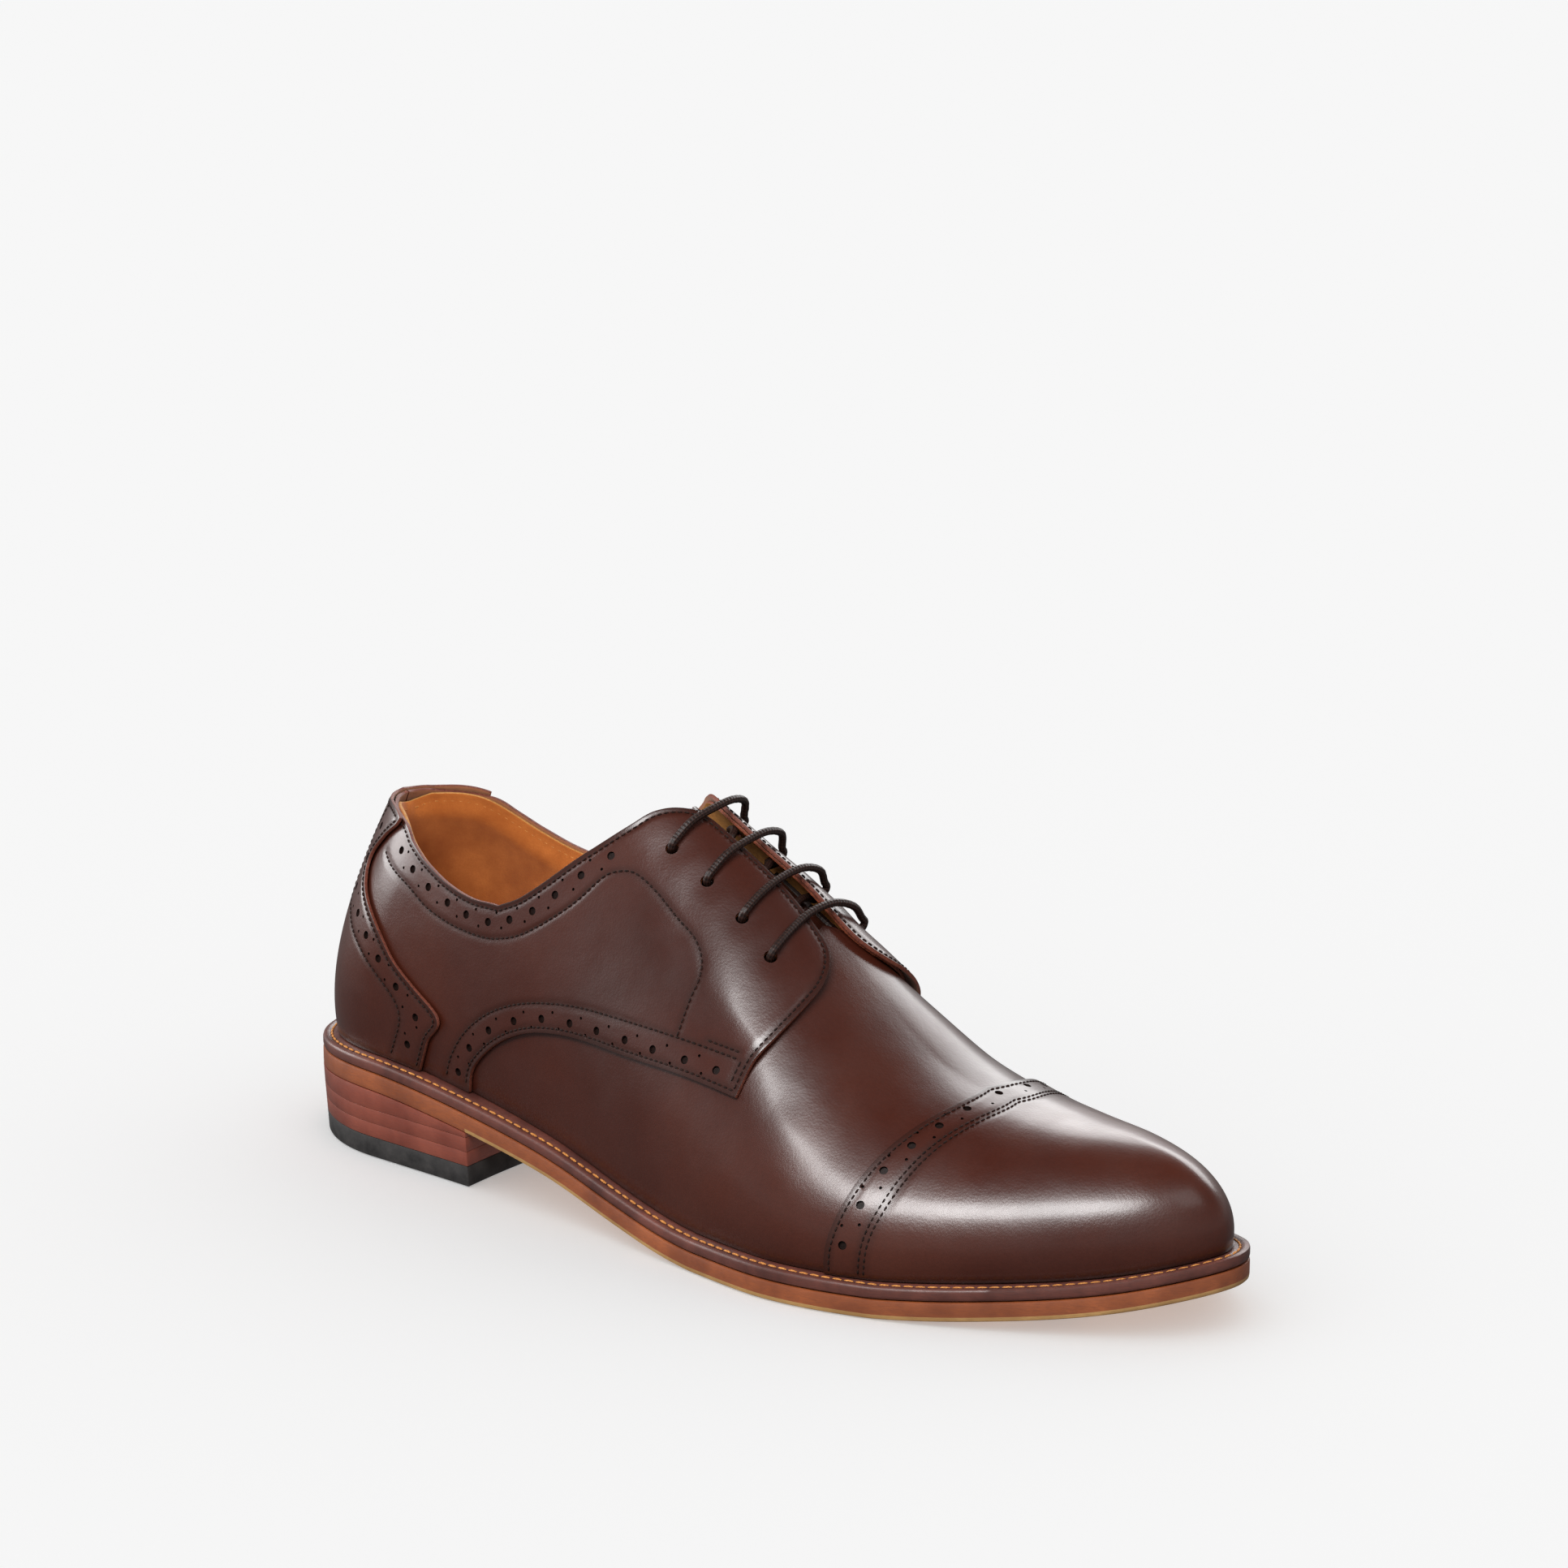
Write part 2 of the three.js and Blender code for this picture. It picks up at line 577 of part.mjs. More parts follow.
/** Bar over the gap between two opposite eyelets, medial to lateral, slack at first. */
function bar([t, tau]) {
  return BAR_SLACK.map(([s, slack]) => {
    const at = 2 - tau + (2 * tau - 2) * s;
    return place(t, at, lay(t) + LEATHER + PLY_GAP + BAR_RISE + slack);
  });
}

/** Run under the gap from a lateral eyelet to the next medial one. */
function underRun([t0, tau0], [t1, tau1]) {
  return [0.2, 0.4, 0.6, 0.8].map((s) => place(t0 + (t1 - t0) * s,
    tau0 + (2 - tau1 - tau0) * s, lay(t0) - LACE_DROP - LACE_R));
}

/** Hidden end of the lace, running under the facing beside the eyelets. */
function tail([t, tau], side, direction) {
  const inside = lay(t) - LACE_DROP - LACE_R - 0.35;
  const at = (dt, dTau, d) => place(t + direction * dt, side > 0 ? 2 - tau - dTau
    : tau + dTau, d);
  return [at(0.0015, -0.02, inside + 0.1), at(0.005, -0.05, inside),
    at(0.0105, -0.06, inside), at(0.016, -0.06, inside)];
}

function laceParts() {
  const first = EYELETS[0];
  const final = EYELETS[EYELETS.length - 1];
  const startPass = eyeletPass(first, 1);
  const endPass = eyeletPass(final, -1);
  const start = tail(first, 1, -1);
  const end = tail(final, -1, 1);
  const points = [...start.slice().reverse(), ...startPass.slice(0, 4).reverse()];
  EYELETS.forEach((eyelet, i) => {
    points.push(...bar(eyelet));
    if (i === EYELETS.length - 1) {
      points.push(...endPass.slice(0, 4), ...end);
      return;
    }
    points.push(...eyeletPass(eyelet, -1), ...underRun(eyelet, EYELETS[i + 1]));
    points.push(...eyeletPass(EYELETS[i + 1], 1).reverse());
  });
  const route = new LaceRoute(points, false, 'centripetal');
  const profile = new THREE.Shape(Array.from({ length: 8 }, (_, i) => new THREE.Vector2(
    LACE_R * cos((i * PI) / 4), LACE_R * sin((i * PI) / 4))));
  const cord = new THREE.ExtrudeGeometry(profile,
    { extrudePath: route, steps: points.length - 1, bevelEnabled: false });
  return { cord: welded(cord), tips: [tip(start), tip(end)] };
}

/** Rigid tip in line with the last stretch of the lace. */
function tip(points) {
  const n = points.length;
  const way = points[n - 1].clone().sub(points[n - 2]).normalize();
  const from = points[n - 1].clone().addScaledVector(way, GAP);
  return rod(from, from.clone().addScaledVector(way, AGLET_LENGTH), LACE_R, 8);
}

// ---------------------------------------------------------------- bottom
const at = (point, heightOf) => [point[0], point[1], heightOf(point[0])];
const outsoleTop = (x) => soleBottom(x) + OUTSOLE_THICKNESS;
const weltTop = (x) => featherHeight(x) - GAP;

const NAIL_SPOTS = [[14, 0], [30, -19], [30, 19], [62, -21], [62, 20]];

function nailRod([x, y], from, to, radius) {
  const px = x * SCALE_X;
  const py = y * SCALE_Y;
  return rod(new THREE.Vector3(px, py, from), new THREE.Vector3(px, py, to), radius, 8);
}

const nailTop = (spot) => soleBottom(spot[0]) + 3;
const nail = (spot) => nailRod(spot, 2, nailTop(spot), NAIL_RADIUS);
const nailBores = () => NAIL_SPOTS.map((spot) => nailRod(spot, 2 - GAP,
  nailTop(spot) + GAP, NAIL_RADIUS + GAP));

function outsole() {
  const ts = stations(0, DESIGN.length, 38);
  const body = plate(ts, (t) => at(outline(t), soleBottom), (t) => at(outline(t), outsoleTop));
  return cut(body, nailBores());
}

/** Strip all round the edge, carrying the upper. */
function welt() {
  const shell = new Shell();
  const count = 64;
  const ring = (edge, heightOf) => Array.from({ length: count }, (_, i) => {
    const [x, y, z] = at(edge(i / count), heightOf);
    return shell.corner(new THREE.Vector3(x * SCALE_X, y * SCALE_Y, z));
  });
  const inner = (t) => shrunkOutline(t, WELT_RING);
  const bottomOf = (x) => outsoleTop(x) + GAP;
  const loops = [ring(outline, bottomOf), ring(outline, weltTop), ring(inner, weltTop),
    ring(inner, bottomOf)];
  for (let k = 0; k < 4; k += 1) {
    const a = loops[k];
    const b = loops[(k + 1) % 4];
    for (let i = 0; i < count; i += 1) {
      const next = (i + 1) % count;
      shell.quad(a[i], a[next], b[next], b[i]);
    }
  }
  return shell.geometry();
}

/** Heel layer between two heights, tapering to the ground. */
function heelLayer(lowOf, highOf) {
  const ts = stations(0, HEEL_LENGTH / SCALE_X, 11);
  const inset = (z) => HEEL_TAPER * (1 - clamp(z / 18, 0, 1));
  const edge = (heightOf) => (t) => {
    const x = outline(t)[0];
    return at(insetOutline(t, inset(heightOf(x))), heightOf);
  };
  return cut(plate(ts, edge(lowOf), edge(highOf)), nailBores());
}

const liftFloor = (i) => TOP_PIECE_THICKNESS + GAP + i * (LIFT_THICKNESS + GAP);
const topPiece = () => heelLayer(() => 0, () => TOP_PIECE_THICKNESS);
const lift = (i) => heelLayer(() => liftFloor(i), () => liftFloor(i) + LIFT_THICKNESS);
const topLift = () => heelLayer(() => liftFloor(2), (x) => soleBottom(x) - GAP);

/** Loop lying inside the lining at the bottom of the shoe. */
function innerLoop(t) {
  const p = place(t, 0, lay(t) - SHELL - 2 * PLY_GAP - LINING - 0.5);
  return [p.x / SCALE_X, p.y / SCALE_Y];
}

function innerPlate(rise, thickness) {
  const ts = stations(0, DESIGN.length, 36);
  return plate(ts, (t) => at(innerLoop(t), (x) => featherHeight(x) + rise),
    (t) => at(innerLoop(t), (x) => featherHeight(x) + rise + thickness));
}

function shankPlate(side, x0, x1, drop, above) {
  const ts = stations(x0, x1, 10);
  const edge = (heightOf) => (t) => {
    const x = station(t);
    return [x, swing(x) + (t <= 0.5 ? -side : side), heightOf(x)];
  };
  return plate(ts, edge((x) => weltTop(x) - drop), edge((x) => weltTop(x) + above));
}

const shank = () => shankPlate(SHANK_WIDTH / 2, 55, 150, SHANK_THICKNESS, 0);

function corkFiller() {
  const ts = stations(0, DESIGN.length, 32);
  const loop = (t) => shrunkOutline(t, WELT_RING + GAP + 0.5);
  const body = plate(ts, (t) => at(loop(t), (x) => outsoleTop(x) + GAP),
    (t) => at(loop(t), weltTop));
  const slot = shankPlate(SHANK_WIDTH / 2 + GAP, 54, 151, SHANK_THICKNESS + GAP, 2);
  return cut(body, [slot]);
}

// ---------------------------------------------------------------- assembly
const FINISHES = {
  upper: { color: 0x5a3428, roughness: 0.38, metalness: 0 },
  lining: { color: 0xb97a45, roughness: 0.9, metalness: 0 },
  lace: { color: 0x2b1a15, roughness: 0.6, metalness: 0 },
  tip: { color: 0x241612, roughness: 0.3, metalness: 0 },
  welt: { color: 0x4c2a22, roughness: 0.5, metalness: 0 },
  sole: { color: 0x9a5a34, roughness: 0.55, metalness: 0 },
  stack: { color: 0x8a4c3a, roughness: 0.5, metalness: 0 },
  rubber: { color: 0x262424, roughness: 0.8, metalness: 0 },
  board: { color: 0xa98a62, roughness: 0.85, metalness: 0 },
  cork: { color: 0x9c7445, roughness: 0.95, metalness: 0 },
  steel: { color: 0x8d9196, roughness: 0.35, metalness: 1 },
};

function node(name, geometry, finish) {
  geometry.computeVertexNormals();
  const material = new THREE.MeshStandardMaterial(finish);
  material.name = name;
  const mesh = new THREE.Mesh(geometry, material);
  mesh.name = name;
  return mesh;
}

function upperNodes() {
  return [
    node('toe_cap', toeCap(), FINISHES.upper),
    node('vamp', vamp(), FINISHES.upper),
    node('quarter_lateral', quarter(-1), FINISHES.upper),
    node('quarter_medial', quarter(1), FINISHES.upper),
    node('heel_patch', heelPatch(), FINISHES.upper),
    node('facing_lining_lateral', facingLining(-1), FINISHES.lining),
    node('facing_lining_medial', facingLining(1), FINISHES.lining),
    node('quarter_lining', quarterLining(), FINISHES.lining),
    node('vamp_lining', vampLining(), FINISHES.lining),
    node('toe_puff', toePuff(), FINISHES.board),
    node('heel_stiffener', heelStiffener(), FINISHES.board),
    node('interlining_lateral', interlining(-1), FINISHES.board),
    node('interlining_medial', interlining(1), FINISHES.board),
    node('tongue', sheet(tongueGrid(), LAYERS.tongue), FINISHES.upper),
    node('tongue_lining', sheet(tongueGrid(), LAYERS.tongueLining), FINISHES.lining),
  ];
}

function laceNodes() {
  const { cord, tips } = laceParts();
  return [
    node('lace', cord, FINISHES.lace),
    node('aglet_medial', tips[0], FINISHES.tip),
    node('aglet_lateral', tips[1], FINISHES.tip),
  ];
}

function bottomNodes() {
  return [
    node('welt', welt(), FINISHES.welt),
    node('outsole', outsole(), FINISHES.sole),
    node('top_piece', topPiece(), FINISHES.rubber),
    node('heel_lift_1', lift(0), FINISHES.stack),
    node('heel_lift_2', lift(1), FINISHES.stack),
    node('heel_lift_3', topLift(), FINISHES.stack),
    node('cork_filler', corkFiller(), FINISHES.cork),
    node('shank', shank(), FINISHES.steel),
    node('insole_board', innerPlate(0, INSOLE_THICKNESS), FINISHES.board),
    node('sock_liner', innerPlate(INSOLE_THICKNESS + GAP, SOCK_THICKNESS), FINISHES.lining),
    ...NAIL_SPOTS.map((spot, i) => node(`heel_nail_${i + 1}`, nail(spot), FINISHES.steel)),
  ];
}

/** Moves every node so that the box is centred on the origin in x and y. */
function centred(meshes) {
  const box = new THREE.Box3();
  meshes.forEach((mesh) => {
    mesh.geometry.computeBoundingBox();
    box.union(mesh.geometry.boundingBox);
  });
  const middle = box.getCenter(new THREE.Vector3());
  meshes.forEach((mesh) => mesh.geometry.translate(-middle.x, -middle.y, 0));
  return meshes;
}

function subAssembly(name, meshes) {
  const group = new THREE.Group();
  group.name = name;
  group.add(...meshes);
  return group;
}

const upper = upperNodes();
const lacing = laceNodes();
const bottom = bottomNodes();
centred([...upper, ...lacing, ...bottom]);
const shoe = new THREE.Group();
shoe.name = 'derby_shoe';
shoe.add(subAssembly('upper', upper), subAssembly('lacing', lacing),
  subAssembly('bottom', bottom));
export default shoe;
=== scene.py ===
"""Looks of a right-foot derby shoe with a cap toe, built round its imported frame.

Every leather panel is laid over one parametric last. A place on the last is a pair
(t, tau): t runs round the foot from 0 at the heel back, by the lateral side, 0.5 at the
toe tip and back by the medial side to 1; tau climbs the wall from 0 at the welt to 1 on
the ridge, and from 1 to 2 down the other side. Design sizes are millimetres; finished
meshes are metres in the frame's own axes: +X toe, +Y medial side, +Z up.
"""

import logging
import math
from collections.abc import Callable, Sequence
from dataclasses import dataclass
from enum import Enum

import bmesh
import bpy
import numpy as np
from mathutils import Matrix, Vector
from mathutils.kdtree import KDTree

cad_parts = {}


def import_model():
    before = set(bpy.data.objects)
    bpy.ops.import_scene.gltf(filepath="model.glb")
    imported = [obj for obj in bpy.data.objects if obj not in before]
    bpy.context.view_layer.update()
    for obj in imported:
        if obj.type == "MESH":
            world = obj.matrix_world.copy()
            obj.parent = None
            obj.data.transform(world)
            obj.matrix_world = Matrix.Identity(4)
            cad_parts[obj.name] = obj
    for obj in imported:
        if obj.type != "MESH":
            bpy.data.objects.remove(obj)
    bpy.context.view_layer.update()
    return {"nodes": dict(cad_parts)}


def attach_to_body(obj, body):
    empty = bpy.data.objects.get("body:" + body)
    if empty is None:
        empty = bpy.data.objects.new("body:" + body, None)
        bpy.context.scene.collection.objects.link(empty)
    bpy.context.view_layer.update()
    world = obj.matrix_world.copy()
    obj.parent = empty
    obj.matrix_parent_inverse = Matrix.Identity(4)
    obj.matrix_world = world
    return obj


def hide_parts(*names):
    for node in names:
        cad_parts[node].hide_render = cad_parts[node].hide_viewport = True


log = logging.getLogger("shoe")

Array = np.ndarray
Pair = tuple[float, float]
Curve = Callable[[Array], Array]  # a value at each x, or each place turned to another
Surface = Callable[[Array, Array], Array]  # height off the last at each (t, tau)
Material = bpy.types.Material
Socket = bpy.types.NodeSocket

MM = 0.001
WELD = 2e-6  # mesh points nearer than this, in metres, become one
CREASE = 40.0  # smallest angle of a sharp edge, in degrees
SOLE_LENGTH = 300.0
HALF_LENGTH = SOLE_LENGTH / 2
SHOE_BODY = "shoe"
TONGUE_BODY = "tongue"


# ---------------------------------------------------------------- small maths
def smooth(value: Array | float) -> Array:
    """A soft step from 0 to 1.

    Args:
        value: How far along the step, 0 at its start and 1 at its end.

    Returns:
        The step's height.
    """
    s = np.clip(value, 0.0, 1.0)
    return s * s * (3 - 2 * s)


@dataclass(frozen=True)
class Stations:
    """A smooth function through a few (x, value) stations."""

    points: tuple[Pair, ...]

    def __call__(self, x: Array | float) -> Array:
        """Value at x, held level outside the stations.

        Args:
            x: Where to read the function.

        Returns:
            As many values as x has.
        """
        xs = np.array([p[0] for p in self.points])
        ys = np.array([p[1] for p in self.points])
        step = np.diff(xs)
        rise = np.diff(ys) / step
        slopes = np.empty_like(ys)
        slopes[0], slopes[-1] = rise[0], rise[-1]
        slopes[1:-1] = (rise[:-1] * step[1:] + rise[1:] * step[:-1]) / (step[1:] + step[:-1])
        at = np.clip(x, xs[0], xs[-1])
        i = np.clip(np.searchsorted(xs, at) - 1, 0, len(xs) - 2)
        h = step[i]
        s = (at - xs[i]) / h
        low = ys[i] * (2 * s**3 - 3 * s**2 + 1) + h * slopes[i] * (s**3 - 2 * s**2 + s)
        return low + ys[i + 1] * (3 * s**2 - 2 * s**3) + h * slopes[i + 1] * (s**3 - s**2)


def flowing(points: Array, per_span: int = 16) -> Array:
    """Dense samples of the centripetal curve through some points.

    Args:
        points: Points of any dimension, one a row.
        per_span: Samples between two neighbouring points.

    Returns:
        The samples, one a row.
    """
    ends = (2 * points[0] - points[1], 2 * points[-1] - points[-2])
    p = np.vstack([ends[0], points, ends[1]])
    s = np.linspace(0, 1, per_span, endpoint=False)[:, None]
    spans = []
    for a, b, c, d in zip(p, p[1:], p[2:], p[3:]):
        ab, bc, cd = (max(math.sqrt(np.linalg.norm(w)), 1e-4) for w in (b - a, c - b, d - c))
        out = ((b - a) / ab - (c - a) / (ab + bc) + (c - b) / bc) * bc
        into = ((c - b) / bc - (d - b) / (bc + cd) + (d - c) / cd) * bc
        start = b * (2 * s**3 - 3 * s**2 + 1) + out * (s**3 - 2 * s**2 + s)
        spans.append(start + c * (3 * s**2 - 2 * s**3) + into * (s**3 - s**2))
    return np.vstack([*spans, points[-1:]])


def evenly(samples: Array, count: int, weights: Array | None = None) -> Array:
    """Points at even arc length along a dense line.

    Args:
        samples: The dense line.
        count: Number of steps; one point more comes back.
        weights: A line of the same length whose arc length counts instead.

    Returns:
        The points, one a row.
    """
    ruler = samples if weights is None else weights
    steps = np.linalg.norm(np.diff(ruler, axis=0), axis=1)
    length = np.concatenate([[0.0], np.cumsum(steps)])
    marks = np.linspace(0, length[-1], count + 1)
    return np.stack([np.interp(marks, length, samples[:, k]) for k in range(samples.shape[1])], 1)


PATTERN_SCALE = np.array([700.0, 100.0])  # brings t and tau to about the same length


def trace(points: Sequence[Pair], count: int) -> Array:
    """Evenly spaced pattern places on a smooth curve through a few."""
    return evenly(flowing(np.array(points) * PATTERN_SCALE), count) / PATTERN_SCALE


def joined(*pieces: Array) -> Array:
    """Lines joined end to end, each starting where the last one stopped."""
    return np.vstack([pieces[0], *(piece[1:] for piece in pieces[1:])])


def straight(a: Sequence[float], b: Sequence[float], count: int) -> Array:
    """Evenly spaced places on a straight line in the pattern."""
    s = np.linspace(0, 1, count + 1)[:, None]
    return np.array(a) * (1 - s) + np.array(b) * s


def fill(bottom: Array, top: Array, left: Array, right: Array) -> Array:
    """Pattern grid that fills four border lines which meet at their ends.

    Args:
        bottom: Line from the first corner along the grid's columns.
        top: Line over it, of as many places.
        left: Line from bottom's first place up to top's.
        right: Line from bottom's last place up to top's.

    Returns:
        The grid, shaped (columns, rows, 2).
    """
    u = np.linspace(0, 1, len(bottom))[:, None, None]
    v = np.linspace(0, 1, len(left))[None, :, None]
    ruled = (1 - v) * bottom[:, None] + v * top[:, None] + (1 - u) * left + u * right
    low = (1 - u) * bottom[0] + u * bottom[-1]
    high = (1 - u) * top[0] + u * top[-1]
    return ruled - (1 - v) * low - v * high


def with_mirror(grid: Array) -> Array:
    """A half grid ending on the centre line, carried on over the ridge."""
    other = grid[:-1][::-1] * [1, -1] + [0, 2]
    return np.concatenate([grid, other])


def as_placed(places: Array) -> Array:
    """Lateral places kept as they are."""
    return places


def over(places: Array) -> Array:
    """Lateral places carried over to the medial side, in the same order."""
    return places * [-1, 1] + [1, 0]


def to_medial(grid: Array) -> Array:
    """The same grid on the shoe's other side, still facing out."""
    return over(grid[::-1])


@dataclass(frozen=True)
class Side:
    """One side of the shoe: how lateral places and grids are turned to it."""

    name: str
    spots: Curve
    grid: Curve


SIDES = (Side("lateral", as_placed, as_placed), Side("medial", over, to_medial))


@dataclass(frozen=True)
class Level:
    """A function with the same value everywhere."""

    value: float

    def __call__(self, x: Array | float) -> Array:
        """The value, shaped like x."""
        return np.full(np.shape(x), self.value, float)


# ---------------------------------------------------------------- the last
@dataclass(frozen=True)
class Last:
    """The form that the upper is laid on, and the outline of the sole under it."""

    welt_width: float = 4.5
    feather_rise: float = 9.0
    ridge_start: float = 38.0
    ridge_end: float = 264.0
    toe_swing: float = 12.0
    heel_round: Pair = (39.0, 2.1)
    toe_round: Pair = (112.0, 1.88)
    swing_from: float = 120.0
    swing_over: float = 180.0
    bulge_scale: float = 6.75  # makes a bulge of 1 stand 1 mm out at its widest
    outline_step: float = 0.004
    normal_step: Pair = (0.005, 0.006)
    toe_surroundings: tuple[Pair, Pair] = ((0.5, 0.95), (0.485, 1.0))
    lateral_half: Stations = Stations(((0, 33), (35, 34.5), (75, 36), (120, 39), (160, 47),
                                       (195, 54), (225, 54), (255, 50.5), (300, 44)))
    medial_half: Stations = Stations(((0, 33), (35, 34.5), (75, 35), (120, 33), (160, 38),
                                      (195, 49), (225, 52), (255, 49), (300, 44)))
    sole_rise: Stations = Stations(((0, 18.5), (35, 20), (70, 16.8), (105, 11.2), (135, 4.6),
                                    (160, 0.5), (180, -0.5), (215, -0.4), (250, 2), (280, 6.2),
                                    (300, 11.2)))
    ridge_height: Stations = Stations(((0, 109), (40, 123.5), (75, 135), (110, 121.5), (137, 106),
                                       (155, 94), (174, 78), (188, 66), (205, 54), (225, 47.5),
                                       (245, 44.7), (265, 43.8), (285, 42), (300, 39.5)))
    ridge_offset: Stations = Stations(((0, 0), (60, 0.5), (110, 2), (140, 4.5), (160, 6),
                                       (180, 7.2), (220, 9), (260, 11), (300, 12)))
    wall_round: Stations = Stations(((0, 1.65), (25, 1.75), (60, 2), (110, 2.05), (160, 2.2),
                                     (210, 2.3), (260, 2.6), (300, 2.8)))
    crown_round: Stations = Stations(((0, 1.5), (25, 1.6), (60, 1.85), (110, 1.95), (160, 1.95),
                                      (210, 1.95), (260, 2.3), (300, 2.8)))
    wall_bulge: Stations = Stations(((0, 2.2), (25, 3.6), (60, 2.5), (110, 2), (160, 2.5),
                                     (210, 2.2), (260, 1.5), (300, 0.5)))

    @staticmethod
    def station(t: Array | float) -> Array:
        """Distance from the heel back of outline place t."""
        return HALF_LENGTH * (1 - np.cos(2 * np.pi * np.asarray(t, float)))

    @staticmethod
    def _soft_end(u: Array, reach: float, power: float) -> Array:
        """Share of the full width at a distance u from a rounded end."""
        inner = np.clip(1 - np.maximum(u, 0) / reach, 0, 1)
        return (1 - inner**power) ** (1 / power)

    def swing(self, x: Array | float) -> Array:
        """How far the toe's centre line stands to the medial side."""
        return self.toe_swing * smooth((np.asarray(x, float) - self.swing_from) / self.swing_over)

    def _halves(self, t: Array, inset: float) -> tuple[Array, Array]:
        """Outline stations and offsets, each half narrowed by an inset.

        Args:
            t: Outline places.
            inset: How much narrower each half is.

        Returns:
            The stations and the offsets.
        """
        x = self.station(t)
        ends = self._soft_end(x, *self.heel_round)
        ends = ends * self._soft_end(SOLE_LENGTH - x, *self.toe_round)
        lateral = np.mod(t, 1.0) <= 0.5
        half = np.where(lateral, inset - self.lateral_half(x), self.medial_half(x) - inset)
        return x, self.swing(x) + half * ends

    def outline(self, t: Array) -> Array:
        """Sole outline as (x, y) rows."""
        return np.stack(self._halves(np.asarray(t, float), 0.0), -1)

    def inset_outline(self, t: Array, inset: Array | float) -> Array:
        """Outline moved inwards along its own normal, for narrow insets.

        Args:
            t: Outline places.
            inset: Distance inwards.

        Returns:
            Rows of (x, y).
        """
        t = np.asarray(t, float)
        way = self.outline(t + self.outline_step) - self.outline(t - self.outline_step)
        way = way / np.linalg.norm(way, axis=-1, keepdims=True)
        inwards = np.stack([-way[..., 1], way[..., 0]], -1)
        return self.outline(t) + inwards * np.asarray(inset)[..., None]

    def shrunk_outline(self, t: Array, inset: float) -> Array:
        """Outline shrunk along both axes, for wide insets."""
        x, y = self._halves(np.asarray(t, float), inset)
        return np.stack([inset + x * (SOLE_LENGTH - 2 * inset) / SOLE_LENGTH, y], -1)

    def spine(self, t: Array) -> Array:
        """Place of the ridge line over the sole that outline place t leans to."""
        x = self.ridge_start + (self.ridge_end - self.ridge_start) * self.station(t) / SOLE_LENGTH
        return np.stack([x, self.ridge_offset(x)], -1)

    def sole_bottom(self, x: Array | float) -> Array:
        """Height of the outsole's underside."""
        return np.maximum(0, self.sole_rise(x))

    def feather(self, x: Array | float) -> Array:
        """Height at which the upper meets the welt."""
        return self.sole_bottom(x) + self.feather_rise

    def point(self, t: Array, tau: Array) -> Array:
        """Points of the last in millimetres, from the heel back and the ground.

        Args:
            t: Places round the foot.
            tau: Places up the wall.

        Returns:
            The points, as rows of (x, y, z).
        """
        t, tau = np.broadcast_arrays(np.asarray(t, float), np.asarray(tau, float))
        over = tau > 1
        t, tau = np.where(over, 1 - t, t), np.where(over, 2 - tau, tau)
        ox = self.station(t)
        foot = self.inset_outline(t, np.full(t.shape, self.welt_width))
        spine = self.spine(t)
        angle = np.clip(tau, 0, 1) * np.pi / 2
        spread = np.maximum(np.cos(angle), 0) ** (2 / self.wall_round(ox))
        lift = np.maximum(np.sin(angle), 0) ** (2 / self.crown_round(ox))
        bulge = self.wall_bulge(ox) * self.bulge_scale * lift * (1 - lift) ** 2
        lean = foot - spine
        reach = np.linalg.norm(lean, axis=-1) + 1e-9
        plan = spine + lean * (spread + bulge / reach)[..., None]
        base = self.feather(foot[..., 0])
        height = base + (self.ridge_height(plan[..., 0]) - base) * lift
        return np.concatenate([plan, height[..., None]], -1)

    def _plain_normal(self, t: Array, tau: Array) -> Array:
        """Outward normal by differences, without care for the toe's pole.

        Args:
            t: Places round the foot.
            tau: Places up the wall.

        Returns:
            Unit normals.
        """
        step, climb = self.normal_step
        low = np.where(tau < climb, 0, tau - climb)
        high = np.where(tau > 2 - climb, 2, tau + climb)
        along = self.point(t + step, tau) - self.point(t - step, tau)
        up = self.point(t, high) - self.point(t, low)
        normal = np.cross(along, up)
        return normal / np.maximum(np.linalg.norm(normal, axis=-1, keepdims=True), 1e-12)

    def normal(self, t: Array, tau: Array) -> Array:
        """Outward normal; the ridge's toe end borrows from its surroundings.

        Args:
            t: Places round the foot.
            tau: Places up the wall.

        Returns:
            Unit normals.
        """
        t, tau = np.broadcast_arrays(np.asarray(t, float), np.asarray(tau, float))
        normal = self._plain_normal(t, tau)
        pole = (np.abs(t - 0.5) < 1e-6) & (np.abs(tau - 1) < 0.01)
        if pole.any():
            near = self._plain_normal(*np.array(self.toe_surroundings).T).sum(0)
            normal[pole] = near / np.linalg.norm(near)
        return normal

    def place(self, t: Array, tau: Array, height: Array | float) -> Array:
        """Points at a height off the last; along the welt they stay on the welt.

        Args:
            t: Places round the foot.
            tau: Places up the wall.
            height: Distance along the normal.

        Returns:
            The points, in design millimetres.
        """
        t, tau = np.broadcast_arrays(np.asarray(t, float), np.asarray(tau, float))
        points = self.point(t, tau) + self.normal(t, tau) * np.broadcast_to(height, t.shape)[..., None]
        on_welt = np.minimum(tau, 2 - tau) < 1e-6
        points[..., 2] = np.where(on_welt, self.feather(points[..., 0]), points[..., 2])
        return points


def middle_of_outline(last: Last) -> float:
    """Middle of the sole's width."""
    across = last.outline(np.linspace(0, 1, 721))[:, 1]
    return float(np.ptp(across) / 2 + across.min())


LAST = Last()
OUTLINE_MIDDLE = middle_of_outline(LAST)


def to_frame(points: Array) -> Array:
    """Design millimetres, from the heel back, as metres in the frame."""
    return (np.asarray(points, float) - [HALF_LENGTH, OUTLINE_MIDDLE, 0]) * MM


